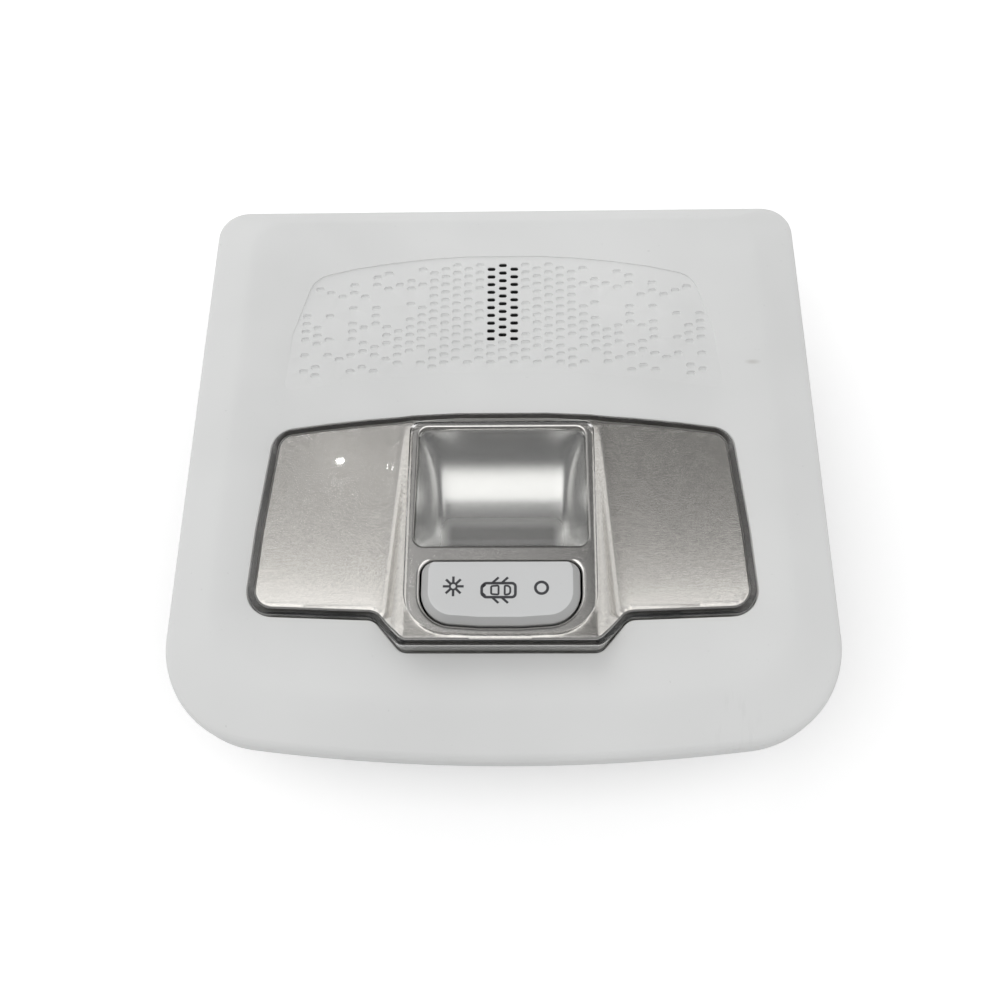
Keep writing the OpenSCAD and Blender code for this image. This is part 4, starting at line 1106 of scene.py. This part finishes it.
def screwHead():
    bm = bmesh.new()
    h, n = headShape, headShape["sides"]
    rings = [ring(bm, circle(0, 0, r, n), z) for r, z in h["rows"]]
    for a, b in zip(rings, rings[1:]):
        bridge(bm, b, a)
    bm.faces.new(rings[0])
    cross, arm, reach = [], h["arm"], h["reach"]
    for a in (q * pi / 2 for q in range(4)):
        cross += [(px * cos(a) - py * sin(a), px * sin(a) + py * cos(a))
                  for px, py in ((reach, -arm), (reach, arm), (arm, arm))]
    fill(bm, [(v.co.x, v.co.y) for v in rings[-1]], [cross], -1.0)
    floor = ring(bm, [(x * h["narrow"], y * h["narrow"]) for x, y in cross], h["floor"])
    bridge(bm, ring(bm, cross, -1.0), floor)
    bm.faces.new(floor)
    bmesh.ops.remove_doubles(bm, verts=bm.verts, dist=1e-4)
    bmesh.ops.recalc_face_normals(bm, faces=bm.faces)
    return bpy.data.objects.new("screwHead", meshFrom("screwHead", bm))


def screwTree():
    sizes = ("Head Radius", "Head Height", "Shank Radius", "Length", "Pitch")
    inputs = [("Head", "Object"), *[(size, "Float") for size in sizes], ("Material", "Material")]
    tree, n = newTree("screwSet", inputs)
    across, high, radius, length, pitch = [n.ins[size] for size in sizes]
    head = n.add("GeometryNodeObjectInfo", {"Object": n.ins["Head"]}).outputs["Geometry"]
    size = n.out("CombineXYZ", {0: across, 1: across, 2: high})
    head = n.out("GeometryNodeTransform", {"Geometry": head, "Scale": size})
    core, tooth = times(n, radius, 0.84), times(n, radius, 0.16)
    shank = n.add("GeometryNodeMeshCylinder", {"Vertices": 24, "Radius": core, "Depth": length}).outputs["Mesh"]
    up = n.out("CombineXYZ", {2: times(n, length, 0.5)})
    shank = n.out("GeometryNodeTransform", {"Geometry": shank, "Translation": up})
    run = times(n, length, 0.9)
    coil = n.out("GeometryNodeCurveSpiral", {"Resolution": 16, "Rotations": math2(n, "DIVIDE", run, pitch),
                                             "Start Radius": core, "End Radius": core, "Height": run})
    profile = n.out("GeometryNodeCurvePrimitiveCircle", {"Resolution": 4, "Radius": tooth})
    thread = n.out("GeometryNodeCurveToMesh", {"Curve": coil, "Profile Curve": profile, "Fill Caps": True})
    screw = joined(n, (head, shank, thread))
    endTree(n, n.out("GeometryNodeInstanceOnPoints", {"Points": n.ins["Geometry"], "Instance": screw}))
    return tree


def makeScrews():
    tree, head = screwTree(), screwHead()
    for node, (places, shank, length, across, high) in screwKinds.items():
        points = pointsObject(node + "Points", places)
        mesh = runTree(tree, points, {"Head": head, "Head Radius": across, "Head Height": high, "Shank Radius": shank,
                                      "Length": length, "Pitch": 0.8, "Material": screwSteel})
        drop(points)
        mesh.transform(toFrame)
        mesh.name = node + "Set"
        placePiece(node + "Set", mesh, "lamp", [node], 30)
    drop(head)


makeScrews()
print("screws made")

# CAD nodes that keep their shape get softened edges and their own finish
dressed = (
    (bodyPlastic, 0.25, ("lamp_housing", "rear_cover")), (connectorPlastic, 0.15, ("connector_header",)),
    (framePlastic, 0.12, ("switch_frame",)), (sliderPlastic, 0.12, ("contact_slider",)),
    (micRubber, 0.3, ("mic_boot",)), (bodyPlastic, 0.2, ("mic_bracket",)), (capsuleCan, 0.15, ("mic_capsule",)),
    (componentBlack, 0.12, ("driver_chip",)), (componentBlack, 0.1, ("resistor_left", "resistor_right")),
    (ledPackage, 0.1, ("led_left", "led_right")), (springSteel, 0.05, ("detent_spring",)),
)
plainFinish = (
    (board, ("circuit_board", "led_board")), (micCloth, ("mic_mesh",)),
    (contactBrass, ("connector_pins", "bridge_contact", "contact_strip_left", "contact_strip_mid",
                    "contact_strip_right")),
    (springSteel, ("clip_far_left", "clip_far_right", "clip_near_left", "clip_near_right")),
)


def soften(node, material, width):
    source = frame["nodes"][node]
    mesh = source.data.copy()
    bm = bmesh.new()
    bm.from_mesh(mesh)
    bmesh.ops.remove_doubles(bm, verts=bm.verts, dist=1e-6)
    bmesh.ops.dissolve_limit(bm, angle_limit=radians(1), verts=bm.verts, edges=bm.edges)
    bm.to_mesh(mesh)
    bm.free()
    mesh.materials.clear()
    mesh.materials.append(material)
    sharp = newObject(node + "Sharp", mesh)
    bevel = sharp.modifiers.new("bevel", "BEVEL")
    bevel.width, bevel.segments, bevel.limit_method, bevel.angle_limit = width * 0.001, 2, "ANGLE", radians(40)
    made = evaluated(sharp)
    made.name = node + "Dressed"
    drop(sharp)
    placePiece(node + "Dressed", made, source["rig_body"], [node], 38)


for material, width, nodes in dressed:
    for node in nodes:
        soften(node, material, width)
for material, nodes in plainFinish:
    for node in nodes:
        shared = frame["nodes"][node].data.materials
        shared.clear()
        shared.append(material)
print("other nodes dressed")

# studio
studio = {
    "camera": (8.2, -117.4, 329.9), "aim": (-0.4, -11.5, 36.0), "focal": 1228, "roll": -4.59, "sensor": 36,
    "floorHalf": 3.0, "floorColour": (0.86, 0.86, 0.86), "floorGlow": 0.34, "diffuseShare": 0.84,
}


def aimed(name, data, at, aim, roll=0):
    obj = newObject(name, data)
    way = (Vector(aim) - Vector(at)).to_track_quat("-Z", "Y")
    obj.rotation_mode = "QUATERNION"
    obj.location = at
    obj.rotation_quaternion = way @ Matrix.Rotation(radians(roll), 3, "Z").to_quaternion()
    return obj


def makeCamera():
    data = bpy.data.cameras.new("camera")
    data.sensor_width = studio["sensor"]
    data.lens = studio["sensor"] * studio["focal"] / 1000
    data.clip_start, data.clip_end = 0.01, 20
    at, aim = [toFrame @ Vector(studio[k]) for k in ("camera", "aim")]
    scene.camera = aimed("camera", data, at, aim, studio["roll"])


def addLamp(name, at, aim, size, sizeY, power, shape):
    data = bpy.data.lights.new(name, "AREA")
    data.shape, data.size, data.size_y, data.energy = shape, size, sizeY, power
    return aimed(name, data, at, aim)


def straightView(n):
    path = n.add("ShaderNodeLightPath")
    first = math2(n, "LESS_THAN", path.outputs["Glossy Depth"], 0.5)
    through = times(n, path.outputs["Is Transmission Ray"], first)
    return math2(n, "MAXIMUM", path.outputs["Is Camera Ray"], through)


def makeFloor():
    mesh = bpy.data.meshes.new("floor")
    h = studio["floorHalf"]
    mesh.from_pydata([(-h, -h, 0), (h, -h, 0), (h, h, 0), (-h, h, 0)], [], [(0, 1, 2, 3)])
    mat, n = blank(bpy.data.materials.new("floorPaper"))
    flat = n.out("BsdfDiffuse", {"Color": (*studio["floorColour"], 1)})
    seen = times(n, straightView(n), studio["floorGlow"])
    glow = n.out("Emission", {"Color": (1, 1, 1, 1), "Strength": seen})
    both = n.out("AddShader", {0: flat, 1: glow})
    endMaterial(n, both)
    mesh.materials.append(mat)
    newObject("floor", mesh)


# the room by direction: a bright half, a dim half beyond it and a wall on each side; white where it is seen straight
def makeRoom():
    world, n = blank(bpy.data.worlds.new("studioWorld"))
    scene.world = world
    way = n.add("ShaderNodeTexCoord").outputs["Generated"]
    x, y, _ = n.add("ShaderNodeSeparateXYZ", {0: way}).outputs

    def fall(out, *ends):
        return ramp(n, out, *ends, kind="SMOOTHSTEP")
    bright = times(n, fall(y, -0.72, -0.36, 0.42, 1.5), fall(x, -0.25, 0.5, 1.06, 0.86))
    dim = times(n, fall(y, 0.36, 0.72, 0.46, 0.14), fall(x, -0.08, 0.12, 1.0, 0.42))
    blend = fall(y, 0.25, 0.285, 0.0, 1.0)
    side = n.out("Mix", {0: blend, 2: bright, 3: dim}, data_type="FLOAT")
    walls = math2(n, "MAXIMUM", fall(x, -0.62, -0.3, 0.95, 0.0), fall(x, 0.3, 0.62, 0.0, 0.85))
    side = math2(n, "MAXIMUM", side, walls)
    spread = n.add("ShaderNodeLightPath").outputs["Is Diffuse Ray"]
    side = times(n, side, ramp(n, spread, 0.0, 1.0, 1.0, studio["diffuseShare"]))
    strength = n.out("Mix", {0: straightView(n), 2: side, 3: 1.0}, data_type="FLOAT")
    back = n.out("Background", {"Color": (1, 1, 1, 1), "Strength": strength})
    n.add("ShaderNodeOutputWorld", {"Surface": back})


makeCamera()
makeFloor()
makeRoom()
softbox = addLamp("farSoftbox", (-0.3, 1.1, 0.62), (0, 0, 0.03), 1.2, 0.6, 4.8, "RECTANGLE")
softbox.visible_glossy = softbox.visible_transmission = False
addLamp("spot", (-0.1424, 0.231, 0.622), (-0.042, -0.002, 0.038), 0.007, 0.0045, 0.0013, "ELLIPSE")
scene.view_settings.view_transform = "Standard"
print("studio made")
